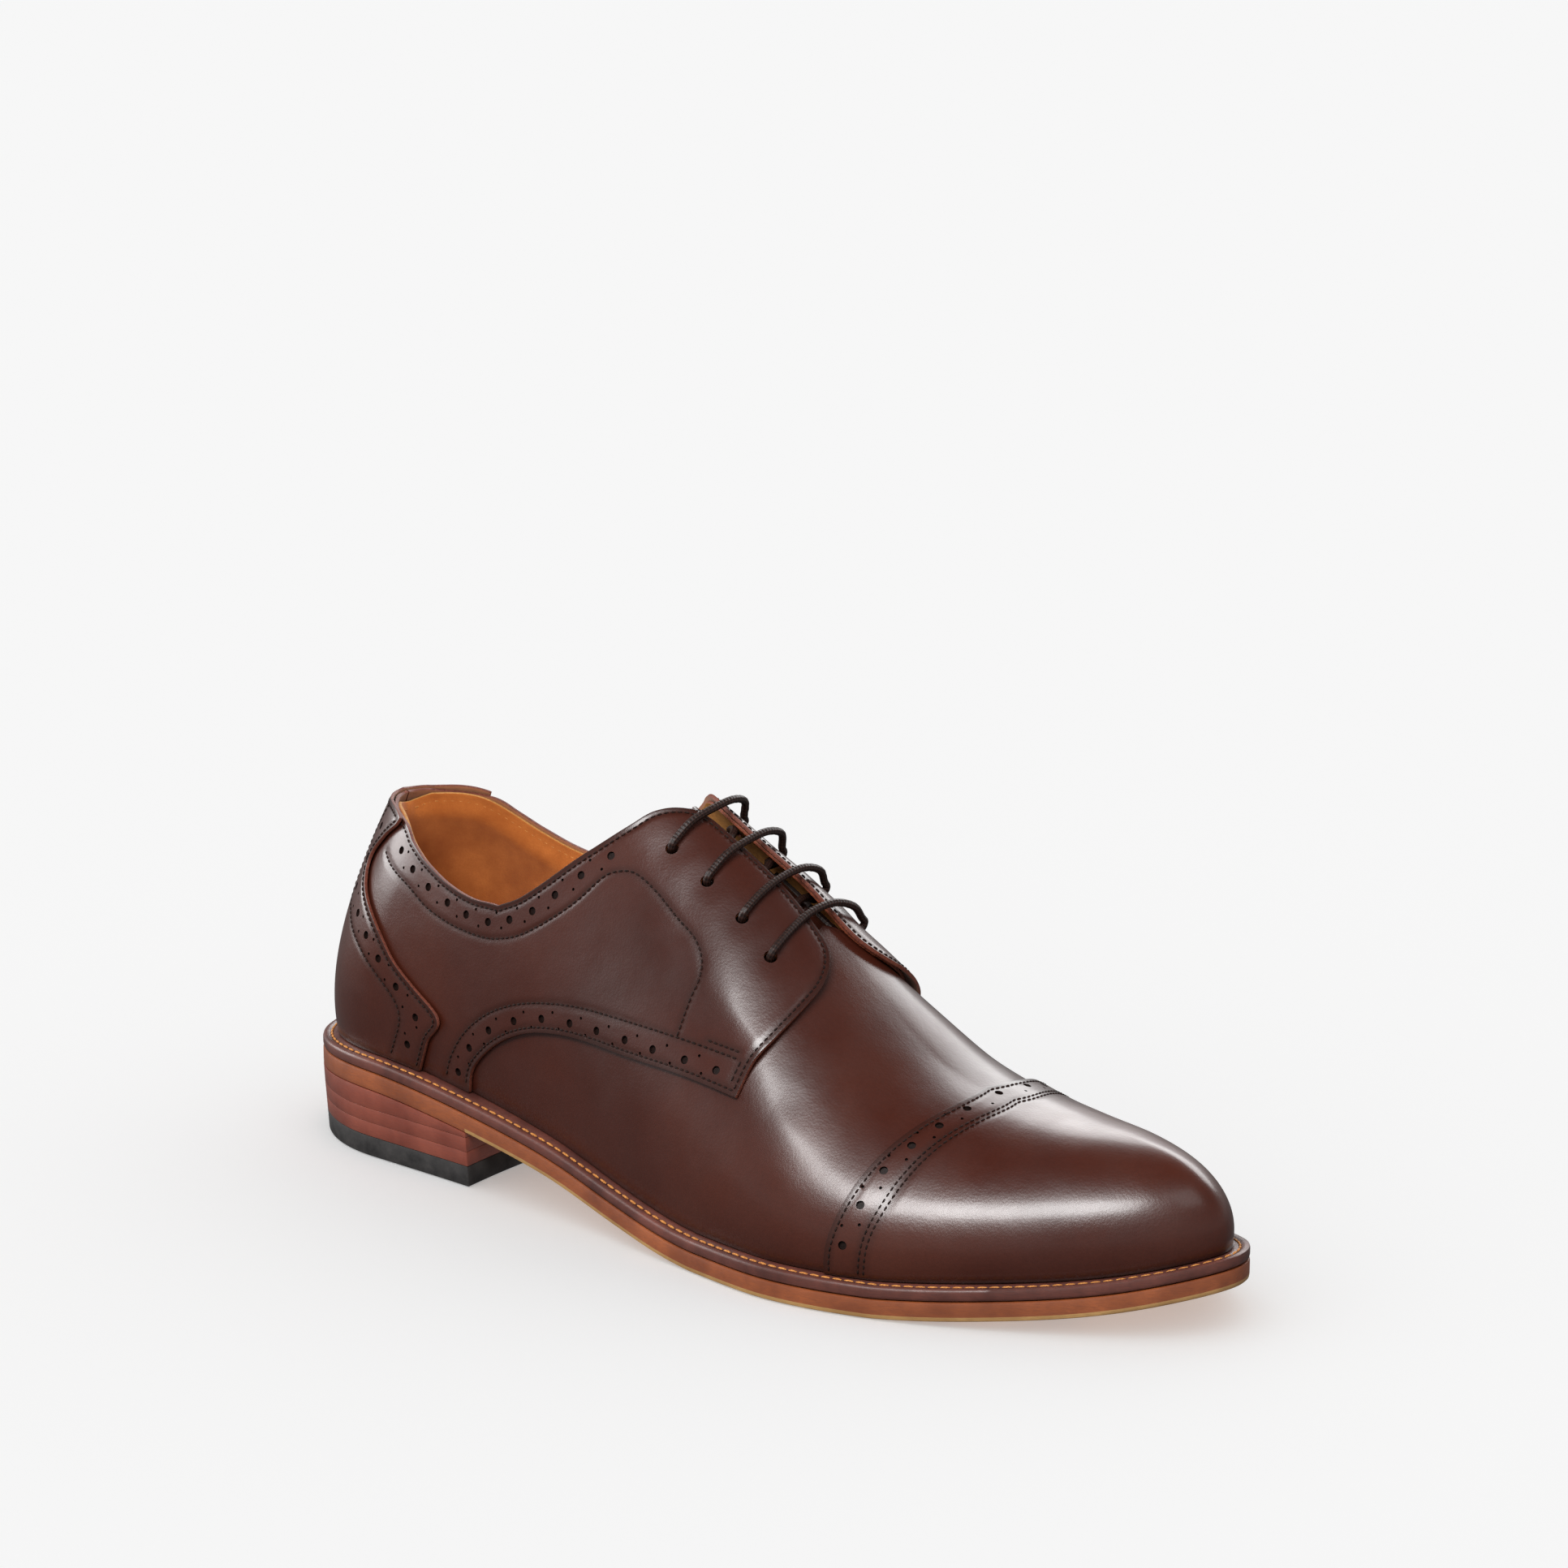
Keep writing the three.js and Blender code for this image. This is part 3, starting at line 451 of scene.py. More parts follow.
# ---------------------------------------------------------------- plies
@dataclass(frozen=True)
class Plies:
    """Thickness and lie of each ply of the upper, as heights off the last."""

    leather: float = 1.0
    shell: float = 1.2
    lining: float = 1.0
    facing_lining: float = 0.8
    gap: float = 0.3
    ply_gap: float = 0.45
    tongue: float = 1.0
    lace: float = 2.2
    lace_room: float = 0.3
    lace_drop: float = 1.15
    heel_step: Pair = (0.13, 0.11)  # where the plies under the patch end, and over what run
    toe_step: Pair = (0.3, 0.06)
    flap_step: Pair = (0.24, 0.028)
    flap_climb: Pair = (0.42, 0.14)
    patch_gaps: float = 2.3
    facing_gap: float = 0.12
    collar_bend: float = 0.055
    collar_overlap: float = 0.08
    tongue_depth: float = 1.5
    tongue_dip: Pair = (0.283, 0.018)

    @staticmethod
    def _side(t: Array) -> Array:
        """Place along the nearer side, whichever side it is."""
        return np.minimum(np.mod(t, 1.0), 1 - np.mod(t, 1.0))

    def lay(self, t: Array) -> Array:
        """Outer face of the vamp's ply, sunk where more plies lie on it.

        Args:
            t: Places round the foot.

        Returns:
            Heights off the last.
        """
        s = self._side(t)
        step = self.leather + self.ply_gap
        heel, heel_run = self.heel_step
        toe, toe_run = self.toe_step
        rear = 2 * step * (1 - smooth((s - heel) / heel_run))
        return -rear - step * smooth((s - toe) / toe_run)

    def flap(self, t: Array, tau: Array) -> Array:
        """Rise of the facing flap, which lies over the vamp with its lining.

        Args:
            t: Places round the foot.
            tau: Places up the wall.

        Returns:
            Heights to add.
        """
        start, run = self.flap_step
        foot, climb = self.flap_climb
        rise = smooth((self._side(t) - start) / run)
        rise = rise * smooth((np.minimum(tau, 2 - tau) - foot) / climb)
        return (self.facing_lining + self.ply_gap) * rise

    def patch(self, t: Array, tau: Array) -> Array:
        """Outer face of the heel patch."""
        return self.lay(t) + self.patch_gaps * self.ply_gap + 2 * self.leather + 0 * tau

    def quarter(self, t: Array, tau: Array) -> Array:
        """Outer face of the quarters."""
        return self.lay(t) + self.ply_gap + self.leather + self.flap(t, tau)

    def cap(self, t: Array, tau: Array) -> Array:
        """Outer face of the toe cap."""
        return self.lay(t) + self.ply_gap + self.leather + 0 * tau

    def vamp(self, t: Array, tau: Array) -> Array:
        """Outer face of the vamp."""
        return self.lay(t) + 0 * tau

    def facing_under(self, t: Array, tau: Array) -> Array:
        """Inner face of the facing lining."""
        return self.lay(t) + self.flap(t, tau) - self.facing_lining - self.facing_gap

    def facing(self, t: Array, tau: Array) -> Array:
        """Outer face of the facing lining."""
        return self.facing_under(t, tau) + self.facing_lining

    def lining_out(self, t: Array, tau: Array) -> Array:
        """Outer face of the lining."""
        return self.lay(t) - self.shell - 2 * self.ply_gap + 0 * tau

    def collar_lining_out(self, t: Array, tau: Array) -> Array:
        """Outer face of the quarter lining, which bends out to meet the collar's edge.

        Args:
            t: Places round the foot.
            tau: Places up the wall.

        Returns:
            Heights off the last.
        """
        meeting = self.lay(t) + self.ply_gap - self.collar_overlap
        near = smooth(1 - (PATTERN.topline(self._side(t)) - tau) / self.collar_bend)
        return self.lining_out(t, tau) * (1 - near) + meeting * near

    def tongue_out(self, t: Array, tau: Array) -> Array:
        """Outer face of the tongue, low enough for the lace to run over it.

        Args:
            t: Places round the foot.
            tau: Places up the wall.

        Returns:
            Heights off the last.
        """
        root, run = self.tongue_dip
        drop = (self.lace + self.lace_room) * smooth((root - self._side(t)) / run)
        return self.lay(t) - self.tongue_depth - drop + 0 * tau

    def tongue_lining_out(self, t: Array, tau: Array) -> Array:
        """Outer face of the tongue's lining."""
        return self.tongue_out(t, tau) - self.tongue - self.gap


PLIES = Plies()


# ---------------------------------------------------------------- pattern
@dataclass(frozen=True)
class Pattern:
    """Pattern lines on the lateral half; the medial half mirrors them."""

    topline_rear: tuple[Pair, ...] = (
        (0.0012, 0.62), (0.04, 0.605), (0.0979, 0.532), (0.1158, 0.475), (0.1317, 0.417),
        (0.1479, 0.367), (0.1617, 0.345), (0.1742, 0.35))
    topline_front: tuple[Pair, ...] = (
        (0.1742, 0.35), (0.1821, 0.383), (0.1904, 0.443), (0.1992, 0.532), (0.2058, 0.61),
        (0.2113, 0.7), (0.215, 0.79), (0.2195, 0.865), (0.2242, 0.915), (0.2295, 0.935))
    facing_edge: tuple[Pair, ...] = (
        (0.2295, 0.935), (0.2404, 0.943), (0.2642, 0.945), (0.2779, 0.94), (0.2825, 0.925),
        (0.286, 0.885))
    flap_end: tuple[Pair, ...] = (
        (0.2775, 0.388), (0.2796, 0.492), (0.2833, 0.593), (0.2867, 0.728), (0.2875, 0.83),
        (0.286, 0.885))
    band_edge: tuple[Pair, ...] = (
        (0.1646, 0), (0.1671, 0.045), (0.1742, 0.09), (0.1829, 0.13), (0.1942, 0.17),
        (0.2054, 0.2), (0.2208, 0.235), (0.2363, 0.27), (0.2529, 0.315), (0.2775, 0.388))
    vamp_wing: tuple[Pair, ...] = (
        (0.157, 0.06), (0.165, 0.115), (0.176, 0.165), (0.19, 0.215), (0.205, 0.25),
        (0.22, 0.285), (0.236, 0.325), (0.2529, 0.375), (0.266, 0.43))
    vamp_throat: tuple[Pair, ...] = (
        (0.266, 0.43), (0.272, 0.52), (0.2755, 0.63), (0.277, 0.76), (0.2765, 0.88), (0.275, 1))
    patch_front: Stations = Stations((
        (0, 0.1404), (0.195, 0.1467), (0.37, 0.1513), (0.45, 0.1392), (0.505, 0.13),
        (0.638, 0.1083), (0.717, 0.0825), (0.77, 0.0717), (0.89, 0.0817), (0.975, 0.0935),
        (1, 0.0945)))
    cap_rear: Stations = Stations((
        (0, 0.3165), (0.13, 0.3175), (0.24, 0.3198), (0.41, 0.325), (0.52, 0.3295),
        (0.66, 0.3368), (0.82, 0.3465), (1, 0.357)))
    cap_overlap: float = 0.0108
    eyelets: tuple[Pair, ...] = (
        (0.2708, 0.745), (0.2579, 0.753), (0.2425, 0.75), (0.2271, 0.74))
    tongue_root: float = 0.286
    tongue_top: float = 0.217

    def topline(self, t: Array) -> Array:
        """Height of the collar's edge at t."""
        return Stations(self.topline_rear + self.topline_front[1:])(t)

    def quarter_grid(self, fine: int) -> Array:
        """Grid of the lateral quarter.

        Args:
            fine: Grid steps for each step of the pattern's own borders.

        Returns:
            The grid, shaped (columns, rows, 2).
        """
        start = (0.0012, 0.0)
        bottom = joined(straight(start, self.band_edge[0], 11 * fine),
                        trace(self.band_edge, 15 * fine))
        top = joined(trace(self.topline_rear, 11 * fine), trace(self.topline_front, 8 * fine),
                     trace(self.facing_edge, 7 * fine))
        left = straight(start, self.topline_rear[0], 10 * fine)
        return fill(bottom, top, left, trace(self.flap_end, 10 * fine))

    def vamp_grid(self, fine: int) -> Array:
        """Grid of the vamp, from wing to wing.

        Args:
            fine: Grid steps for each step of the pattern's own borders.

        Returns:
            The grid, shaped (columns, rows, 2).
        """
        rise = np.linspace(0, 1, 12 * fine + 1)
        front = np.stack([self.cap_rear(rise) + self.cap_overlap, rise], -1)
        bottom = joined(straight((0.153, 0), front[0], 13 * fine), front)
        top = joined(trace(self.vamp_wing, 12 * fine), trace(self.vamp_throat, 13 * fine))
        left = straight(bottom[0], top[0], 9 * fine)
        right = straight(bottom[-1], top[-1], 9 * fine)
        return with_mirror(fill(bottom, top, left, right))

    def toe_grid(self, along: int, around: int) -> Array:
        """Grid over the toe from its rear line to the tip, where it closes on itself.

        Args:
            along: Grid steps towards the tip.
            around: Grid steps up each side.

        Returns:
            The grid, shaped (columns, rows, 2).
        """
        tau = np.linspace(0, 2, 2 * around + 1)[None, :]
        rear = self.cap_rear(np.minimum(tau, 2 - tau))
        s = np.linspace(0, 1, along + 1)[:, None]
        t = rear + (0.5 - rear) * (1 - (1 - s) ** 1.15)
        return np.stack([t, tau + 0 * t], -1)

    def heel_grid(self, front: Curve, top: Curve,
                  along: int, up: int) -> Array:
        """Grid round the heel, the same on both sides of its back.

        Args:
            front: Half length at a share of the height.
            top: Height of the upper border at t.
            along: Grid steps for each side.
            up: Grid steps up the wall.

        Returns:
            The grid, shaped (columns, rows, 2).
        """
        u = np.linspace(-1, 1, 2 * along + 1)[:, None]
        v = np.linspace(0, 1, up + 1)[None, :]
        t = u * front(v)
        return np.stack([t, v * top(np.abs(t))], -1)

    def facing_grid(self, fine: int) -> Array:
        """Grid of the lateral facing lining.

        Args:
            fine: Grid steps for each step of the pattern's own borders.

        Returns:
            The grid, shaped (columns, rows, 2).
        """
        rear = ((0.2095, 0.64), (0.2135, 0.72), (0.2165, 0.79), (0.221, 0.86), (0.2255, 0.905),
                (0.2305, 0.922))
        edge = ((0.2305, 0.922), (0.2404, 0.93), (0.2642, 0.932), (0.2775, 0.928),
                (0.2815, 0.91), (0.2845, 0.87))
        end = ((0.2785, 0.56), (0.2815, 0.64), (0.285, 0.76), (0.2845, 0.87))
        under = ((0.2105, 0.6), (0.245, 0.6), (0.262, 0.57), (0.2785, 0.56))
        top = joined(trace(rear, 4 * fine), trace(edge, 8 * fine))
        bottom = trace(under, 12 * fine)
        return fill(bottom, top, straight(bottom[0], rear[0], 5 * fine), trace(end, 5 * fine))

    def vamp_lining_grid(self, fine: int) -> Array:
        """Grid of the lining of vamp and toe, closed at the toe tip.

        Args:
            fine: Grid steps for each step of the pattern's own borders.

        Returns:
            The grid, shaped (columns, rows, 2).
        """
        upper = ((0.2375, 0.5), (0.262, 0.5), (0.282, 0.56), (0.29, 0.7), (0.2915, 0.85),
                 (0.292, 1))
        bottom = straight((0.2375, 0), (0.5, 0), 15 * fine)
        top = trace(upper, 15 * fine)
        left = straight(bottom[0], top[0], 12 * fine)
        right = joined(straight((0.5, 0), (0.5, 1), 5 * fine),
                       straight((0.5, 1), (0.292, 1), 7 * fine))
        return with_mirror(fill(bottom, top, left, right))

    def tongue_grid(self, along: int, across: int) -> Array:
        """Grid of the tongue, wider at the top than at its root.

        Args:
            along: Grid steps along the tongue.
            across: Grid steps across it.

        Returns:
            The grid, shaped (columns, rows, 2).
        """
        s = np.linspace(0, 1, along + 1)[:, None]
        half = 0.4 - 0.14 * smooth((s - 0.45) / 0.55) - 0.1 * (1 - s) ** 6
        tau = 1 + half * np.linspace(-1, 1, across + 1)[None, :]
        t = self.tongue_top + (self.tongue_root - self.tongue_top) * s
        return np.stack([t + 0 * tau, tau], -1)


PATTERN = Pattern()


# ---------------------------------------------------------------- materials
def linear(tone: str) -> tuple[float, float, float, float]:
    """A hex tone such as "#5a3c34" as linear RGBA.

    Args:
        tone: The hex tone.

    Returns:
        Red, green, blue and alpha, each from 0 to 1.
    """
    parts = [int(tone[i : i + 2], 16) / 255 for i in (1, 3, 5)]
    r, g, b = (c / 12.92 if c <= 0.04045 else ((c + 0.055) / 1.055) ** 2.4 for c in parts)
    return r, g, b, 1.0


def set_stops(node: bpy.types.Node, stops: Sequence[tuple[float, str]]) -> None:
    """Gives a colour ramp its stops.

    Args:
        node: The ramp node.
        stops: Place and hex tone of each stop.
    """
    elements = node.color_ramp.elements
    while len(elements) < len(stops):
        elements.new(0.5)
    for element, (position, tone) in zip(elements, stops):
        element.position = position
        element.color = linear(tone)


class Recipe:
    """Builds one procedural material, node by node, on a Principled shader."""

    def __init__(self, name: str) -> None:
        """Starts an empty recipe.

        Args:
            name: The material's name.
        """
        self.material = bpy.data.materials.new(name)
        self.material.use_nodes = True
        self.tree = self.material.node_tree
        self.shader = self.tree.nodes["Principled BSDF"]
        self.place = self.add("ShaderNodeTexCoord").outputs["Object"]

    def add(self, kind: str, **settings: object) -> bpy.types.Node:
        """Adds a node and sets its plain properties.

        Args:
            kind: The node's type.
            settings: Its properties, by name.

        Returns:
            The node.
        """
        node = self.tree.nodes.new(kind)
        for key, value in settings.items():
            setattr(node, key, value)
        return node

    def link(self, source: Socket, node: bpy.types.Node, key: str | int) -> None:
        """Joins an output to one input of a node."""
        self.tree.links.new(source, node.inputs[key])

    def constant(self, **values: object) -> None:
        """Sets the shader's own sockets; an underscore in a name stands for a space."""
        for key, value in values.items():
            self.shader.inputs[key.replace("_", " ")].default_value = value

    def noise(self, scale: float, detail: float = 3.0, roughness: float = 0.5,
              stretch: Sequence[float] = (1, 1, 1)) -> Socket:
        """Noise over the piece.

        Args:
            scale: Features per metre.
            detail: Octaves.
            roughness: Weight of the finer octaves.
            stretch: Scale of each axis, for grain that runs one way.

        Returns:
            The noise as a socket from 0 to 1.
        """
        mapping = self.add("ShaderNodeMapping")
        mapping.inputs["Scale"].default_value = stretch
        self.link(self.place, mapping, "Vector")
        node = self.add("ShaderNodeTexNoise")
        node.inputs["Scale"].default_value = scale
        node.inputs["Detail"].default_value = detail
        node.inputs["Roughness"].default_value = roughness
        self.link(mapping.outputs["Vector"], node, "Vector")
        return node.outputs["Fac"]

    def cells(self, scale: float) -> Socket:
        """Distance to the nearest grain cell's middle.

        Args:
            scale: Cells per metre.

        Returns:
            The distance as a socket.
        """
        node = self.add("ShaderNodeTexVoronoi")
        node.inputs["Scale"].default_value = scale
        self.link(self.place, node, "Vector")
        return node.outputs["Distance"]

    def attribute(self, name: str) -> Socket:
        """A number stored on the piece's vertices."""
        return self.add("ShaderNodeAttribute", attribute_name=name).outputs["Fac"]

    def ramp(self, source: Socket,
             stops: Sequence[tuple[float, str]]) -> Socket:
        """Tones along a socket's value.

        Args:
            source: The value, 0 to 1.
            stops: Place and hex tone of each stop.

        Returns:
            The colour socket.
        """
        node = self.add("ShaderNodeValToRGB")
        set_stops(node, stops)
        self.link(source, node, "Fac")
        return node.outputs["Color"]

    def spread(self, source: Socket, low: float, high: float,
               start: float = 0.0, end: float = 1.0) -> Socket:
        """A value mapped from start..end to low..high.

        Args:
            source: The value.
            low: What start becomes.
            high: What end becomes.
            start: Lower end of the value.
            end: Upper end of the value.

        Returns:
            The mapped value as a socket.
        """
        node = self.add("ShaderNodeMapRange")
        for key, value in (("From Min", start), ("From Max", end), ("To Min", low),
                           ("To Max", high)):
            node.inputs[key].default_value = value
        self.link(source, node, "Value")
        return node.outputs["Result"]

    def mix(self, share: Socket, first: Socket, tone: str) -> Socket:
        """A colour mixed with a plain tone by a share.

        Args:
            share: How much of the tone shows.
            first: The colour.
            tone: The hex tone.

        Returns:
            The colour socket.
        """
        node = self.add("ShaderNodeMix", data_type="RGBA")
        self.link(share, node, 0)
        self.link(first, node, 6)
        node.inputs[7].default_value = linear(tone)
        return node.outputs[2]

    def math(self, operation: str, first: Socket,
             second: Socket | float = 0.0) -> Socket:
        """One sum on two values.

        Args:
            operation: Name of the sum.
            first: A value.
            second: Another, or a number.

        Returns:
            The result as a socket.
        """
        node = self.add("ShaderNodeMath", operation=operation)
        self.link(first, node, 0)
        if isinstance(second, float):
            node.inputs[1].default_value = second
        else:
            self.link(second, node, 1)
        return node.outputs["Value"]

    def bump(self, height: Socket, depth: float, strength: float = 1.0,
             under: Socket | None = None) -> Socket:
        """Relief in the surface.

        Args:
            height: Its height, 0 to 1.
            depth: What a height of 1 stands for, in metres.
            strength: How much of it counts.
            under: Relief that this one lies on.

        Returns:
            The bent normal.
        """
        node = self.add("ShaderNodeBump")
        node.inputs["Strength"].default_value = strength
        node.inputs["Distance"].default_value = depth
        self.link(height, node, "Height")
        if under is not None:
            self.link(under, node, "Normal")
        return node.outputs["Normal"]

    def finish(self, colour: Socket, roughness: Socket | float, normal: Socket) -> Material:
        """Joins colour, roughness and relief to the shader.

        Args:
            colour: Base colour.
            roughness: Roughness, or one number for all of it.
            normal: Bent normal.

        Returns:
            The finished material.
        """
        self.link(colour, self.shader, "Base Color")
        if isinstance(roughness, float):
            self.shader.inputs["Roughness"].default_value = roughness
        else:
            self.link(roughness, self.shader, "Roughness")
        self.link(normal, self.shader, "Normal")
        return self.material


@dataclass(frozen=True)
class BurnishedLeather:
    """Smooth waxed calf with fine grain; painted shade darkens it along seams and cut edges."""

    name: str = "burnished_leather"
    deep: str = "#2d1009"
    middle: str = "#39160d"
    light: str = "#451e12"
    # edge: tone of the grain's dark specks, and of the painted shade along seams and cut edges
    edge: str = "#180804"
    roughness: Pair = (0.3, 0.4)

    def material(self) -> Material:
        """Builds the material.

        Returns:
            The material.
        """
        recipe = Recipe(self.name)
        recipe.constant(Coat_Weight=0.32, Coat_Roughness=0.19, Specular_IOR_Level=0.4)
        clouds = recipe.noise(18, 3, 0.5)
        tone = recipe.ramp(clouds, ((0.2, self.deep), (0.5, self.middle), (0.8, self.light)))
        pores = recipe.cells(1500)
        fine = recipe.noise(900, 3, 0.6)
        speck = recipe.spread(fine, 0.0, 0.16, 0.35, 0.75)
        tone = recipe.mix(speck, tone, self.edge)
        # Painted shade: darker next to seams and cut edges, by the vertex number that each panel
        # stores.
        painted_shade = recipe.spread(recipe.attribute("edge"), 0.0, 0.7)
        tone = recipe.mix(painted_shade, tone, self.edge)
        rough = recipe.spread(recipe.noise(60, 4, 0.6), *self.roughness, 0.3, 0.7)
        waves = recipe.bump(recipe.noise(85, 3, 0.5), 0.00035, 0.5)
        grain = recipe.bump(pores, 0.00005, 0.35, waves)
        relief = recipe.bump(fine, 0.00004, 0.35, grain)
        return recipe.finish(tone, rough, relief)


@dataclass(frozen=True)
class CutEdge:
    """The raw, dyed edge of a leather panel."""

    name: str = "cut_edge"
    dark: str = "#45201a"
    light: str = "#6f3b2b"
    roughness: float = 0.55

    def material(self) -> Material:
        """Builds the material.

        Returns:
            The material.
        """
        recipe = Recipe(self.name)
        recipe.constant(Specular_IOR_Level=0.25)
        fibre = recipe.noise(1400, 4, 0.65)
        tone = recipe.ramp(fibre, ((0.3, self.dark), (0.7, self.light)))
        return recipe.finish(tone, self.roughness, recipe.bump(fibre, 0.00006, 0.6))


@dataclass(frozen=True)
class Suede:
    """Brushed lining leather with a soft nap."""

    name: str = "lining_suede"
    dark: str = "#884517"
    light: str = "#b76b30"
    roughness: float = 0.92

    def material(self) -> Material:
        """Builds the material.

        Returns:
            The material.
        """
        recipe = Recipe(self.name)
        recipe.constant(Sheen_Weight=0.12, Sheen_Roughness=0.5, Specular_IOR_Level=0.15)
        clouds = recipe.noise(55, 4, 0.6)
        nap = recipe.noise(1800, 4, 0.7)
        tone = recipe.ramp(clouds, ((0.3, self.dark), (0.7, self.light)))
        tone = recipe.mix(recipe.spread(nap, 0.0, 0.35, 0.35, 0.7), tone, self.dark)
        return recipe.finish(tone, self.roughness, recipe.bump(nap, 0.00012, 0.6))


@dataclass(frozen=True)
class Thread:
    """Waxed sewing thread with its twist."""

    name: str = "thread"
    dark: str = "#0f0503"
    light: str = "#26110a"
    roughness: float = 0.75

    def material(self) -> Material:
        """Builds the material.

        Returns:
            The material.
        """
        recipe = Recipe(self.name)
        recipe.constant(Specular_IOR_Level=0.2)
        twist = recipe.noise(2600, 2, 0.5)
        tone = recipe.ramp(twist, ((0.35, self.dark), (0.65, self.light)))
        return recipe.finish(tone, self.roughness, recipe.bump(twist, 0.00008, 0.6))


@dataclass(frozen=True)
class WaxedBraid:
    """Round braided lace, waxed, its strands crossing along the cord, with painted shade in the
    hollows of the weave.
    """

    name: str = "waxed_braid"
    dark: str = "#120806"
    light: str = "#301a13"
    strands: float = 8.0
    pitch: float = 0.0021

    def material(self) -> Material:
        """Builds the material; its map holds the length in metres and the share of a turn.

        Returns:
            The material.
        """
        recipe = Recipe(self.name)
        recipe.constant(Coat_Weight=0.05, Coat_Roughness=0.4, Specular_IOR_Level=0.3)
        map_node = recipe.add("ShaderNodeUVMap", uv_map="cord")
        split = recipe.add("ShaderNodeSeparateXYZ")
        recipe.link(map_node.outputs["UV"], split, "Vector")
        along = recipe.math("MULTIPLY", split.outputs["X"], 2 * math.pi / self.pitch)
        around = recipe.math("MULTIPLY", split.outputs["Y"], self.strands * math.pi)
        left = recipe.math("SINE", recipe.math("ADD", along, around))
        right = recipe.math("SINE", recipe.math("SUBTRACT", along, around))
        weave = recipe.spread(recipe.math("MULTIPLY", left, right), 0.0, 1.0, -1.0, 1.0)
        fuzz = recipe.noise(2200, 3, 0.6)
        # Painted shade: the tone is darkest where the weave's relief sinks.
        tone = recipe.ramp(weave, ((0.1, self.dark), (0.9, self.light)))
        tone = recipe.mix(recipe.spread(fuzz, 0.0, 0.4, 0.4, 0.7), tone, self.dark)
        relief = recipe.bump(weave, 0.00018, 0.8)
        rough = recipe.spread(fuzz, 0.38, 0.6)
        return recipe.finish(tone, rough, recipe.bump(fuzz, 0.00005, 0.5, relief))


@dataclass(frozen=True)
class DyedSole:
    """Dense sole leather, its edge dyed and polished, with fibres along the sole."""

    name: str = "sole_leather"
    dark: str = "#612d13"
    light: str = "#884722"
    roughness: Pair = (0.42, 0.6)
    stretch: tuple[float, float, float] = (1.0, 1.0, 6.0)
    coat: float = 0.15

    def material(self) -> Material:
        """Builds the material.

        Returns:
            The material.
        """
        recipe = Recipe(self.name)
        recipe.constant(Coat_Weight=self.coat, Coat_Roughness=0.3)
        clouds = recipe.noise(70, 4, 0.6)
        fibres = recipe.noise(420, 4, 0.65, stretch=self.stretch)
        tone = recipe.ramp(clouds, ((0.3, self.dark), (0.72, self.light)))
        tone = recipe.mix(recipe.spread(fibres, 0.0, 0.5, 0.42, 0.72), tone, self.dark)
        rough = recipe.spread(fibres, *self.roughness, 0.3, 0.7)
        return recipe.finish(tone, rough, recipe.bump(fibres, 0.00008, 0.6))


@dataclass(frozen=True)
class BlackRubber:
    """Moulded top-piece rubber, scuffed a little."""

    name: str = "top_piece_rubber"
    dark: str = "#1d1b1b"
    light: str = "#33302f"

    def material(self) -> Material:
        """Builds the material.

        Returns:
            The material.
        """
        recipe = Recipe(self.name)
        recipe.constant(Specular_IOR_Level=0.4)
        dust = recipe.noise(160, 5, 0.65)
        tone = recipe.ramp(dust, ((0.35, self.dark), (0.75, self.light)))
        rough = recipe.spread(dust, 0.6, 0.85, 0.3, 0.7)
        return recipe.finish(tone, rough, recipe.bump(recipe.noise(1300, 2), 0.00006, 0.5))


@dataclass(frozen=True)
class Granular:
    """Plain inner stuff: board, cloth or cork, told apart by tone and grain."""

    name: str
    dark: str
    light: str
    grain: float
    depth: float = 0.0001

    def material(self) -> Material:
        """Builds the material.

        Returns:
            The material.
        """
        recipe = Recipe(self.name)
        cells = recipe.cells(self.grain)
        tone = recipe.ramp(cells, ((0.1, self.dark), (0.75, self.light)))
        return recipe.finish(tone, 0.88, recipe.bump(cells, self.depth, 0.7))


@dataclass(frozen=True)
class BrushedSteel:
    """Plain steel of the shank and the nails."""

    name: str = "brushed_steel"
    dark: str = "#6f7377"
    light: str = "#a3a7ab"

    def material(self) -> Material:
        """Builds the material.

        Returns:
            The material.
        """
        recipe = Recipe(self.name)
        recipe.constant(Metallic=1.0)
        lines = recipe.noise(300, 3, 0.6, stretch=(1, 8, 8))
        tone = recipe.ramp(lines, ((0.3, self.dark), (0.7, self.light)))
        return recipe.finish(tone, recipe.spread(lines, 0.28, 0.45), recipe.bump(lines, 0.00002, 0.4))


class Slot(Enum):
    """Material slots of the record."""

    UPPER = "upper_leather"
    LINING = "lining_leather"
    LACE = "lace_cord"
    WELT = "welt_leather"
    SOLE = "sole_leather"
    STACK = "heel_stack"
    TOP_PIECE = "top_piece_rubber"
    SOCK = "insole_leather"
    STIFFENING = "stiffening"
    INTERLINING = "interlining"


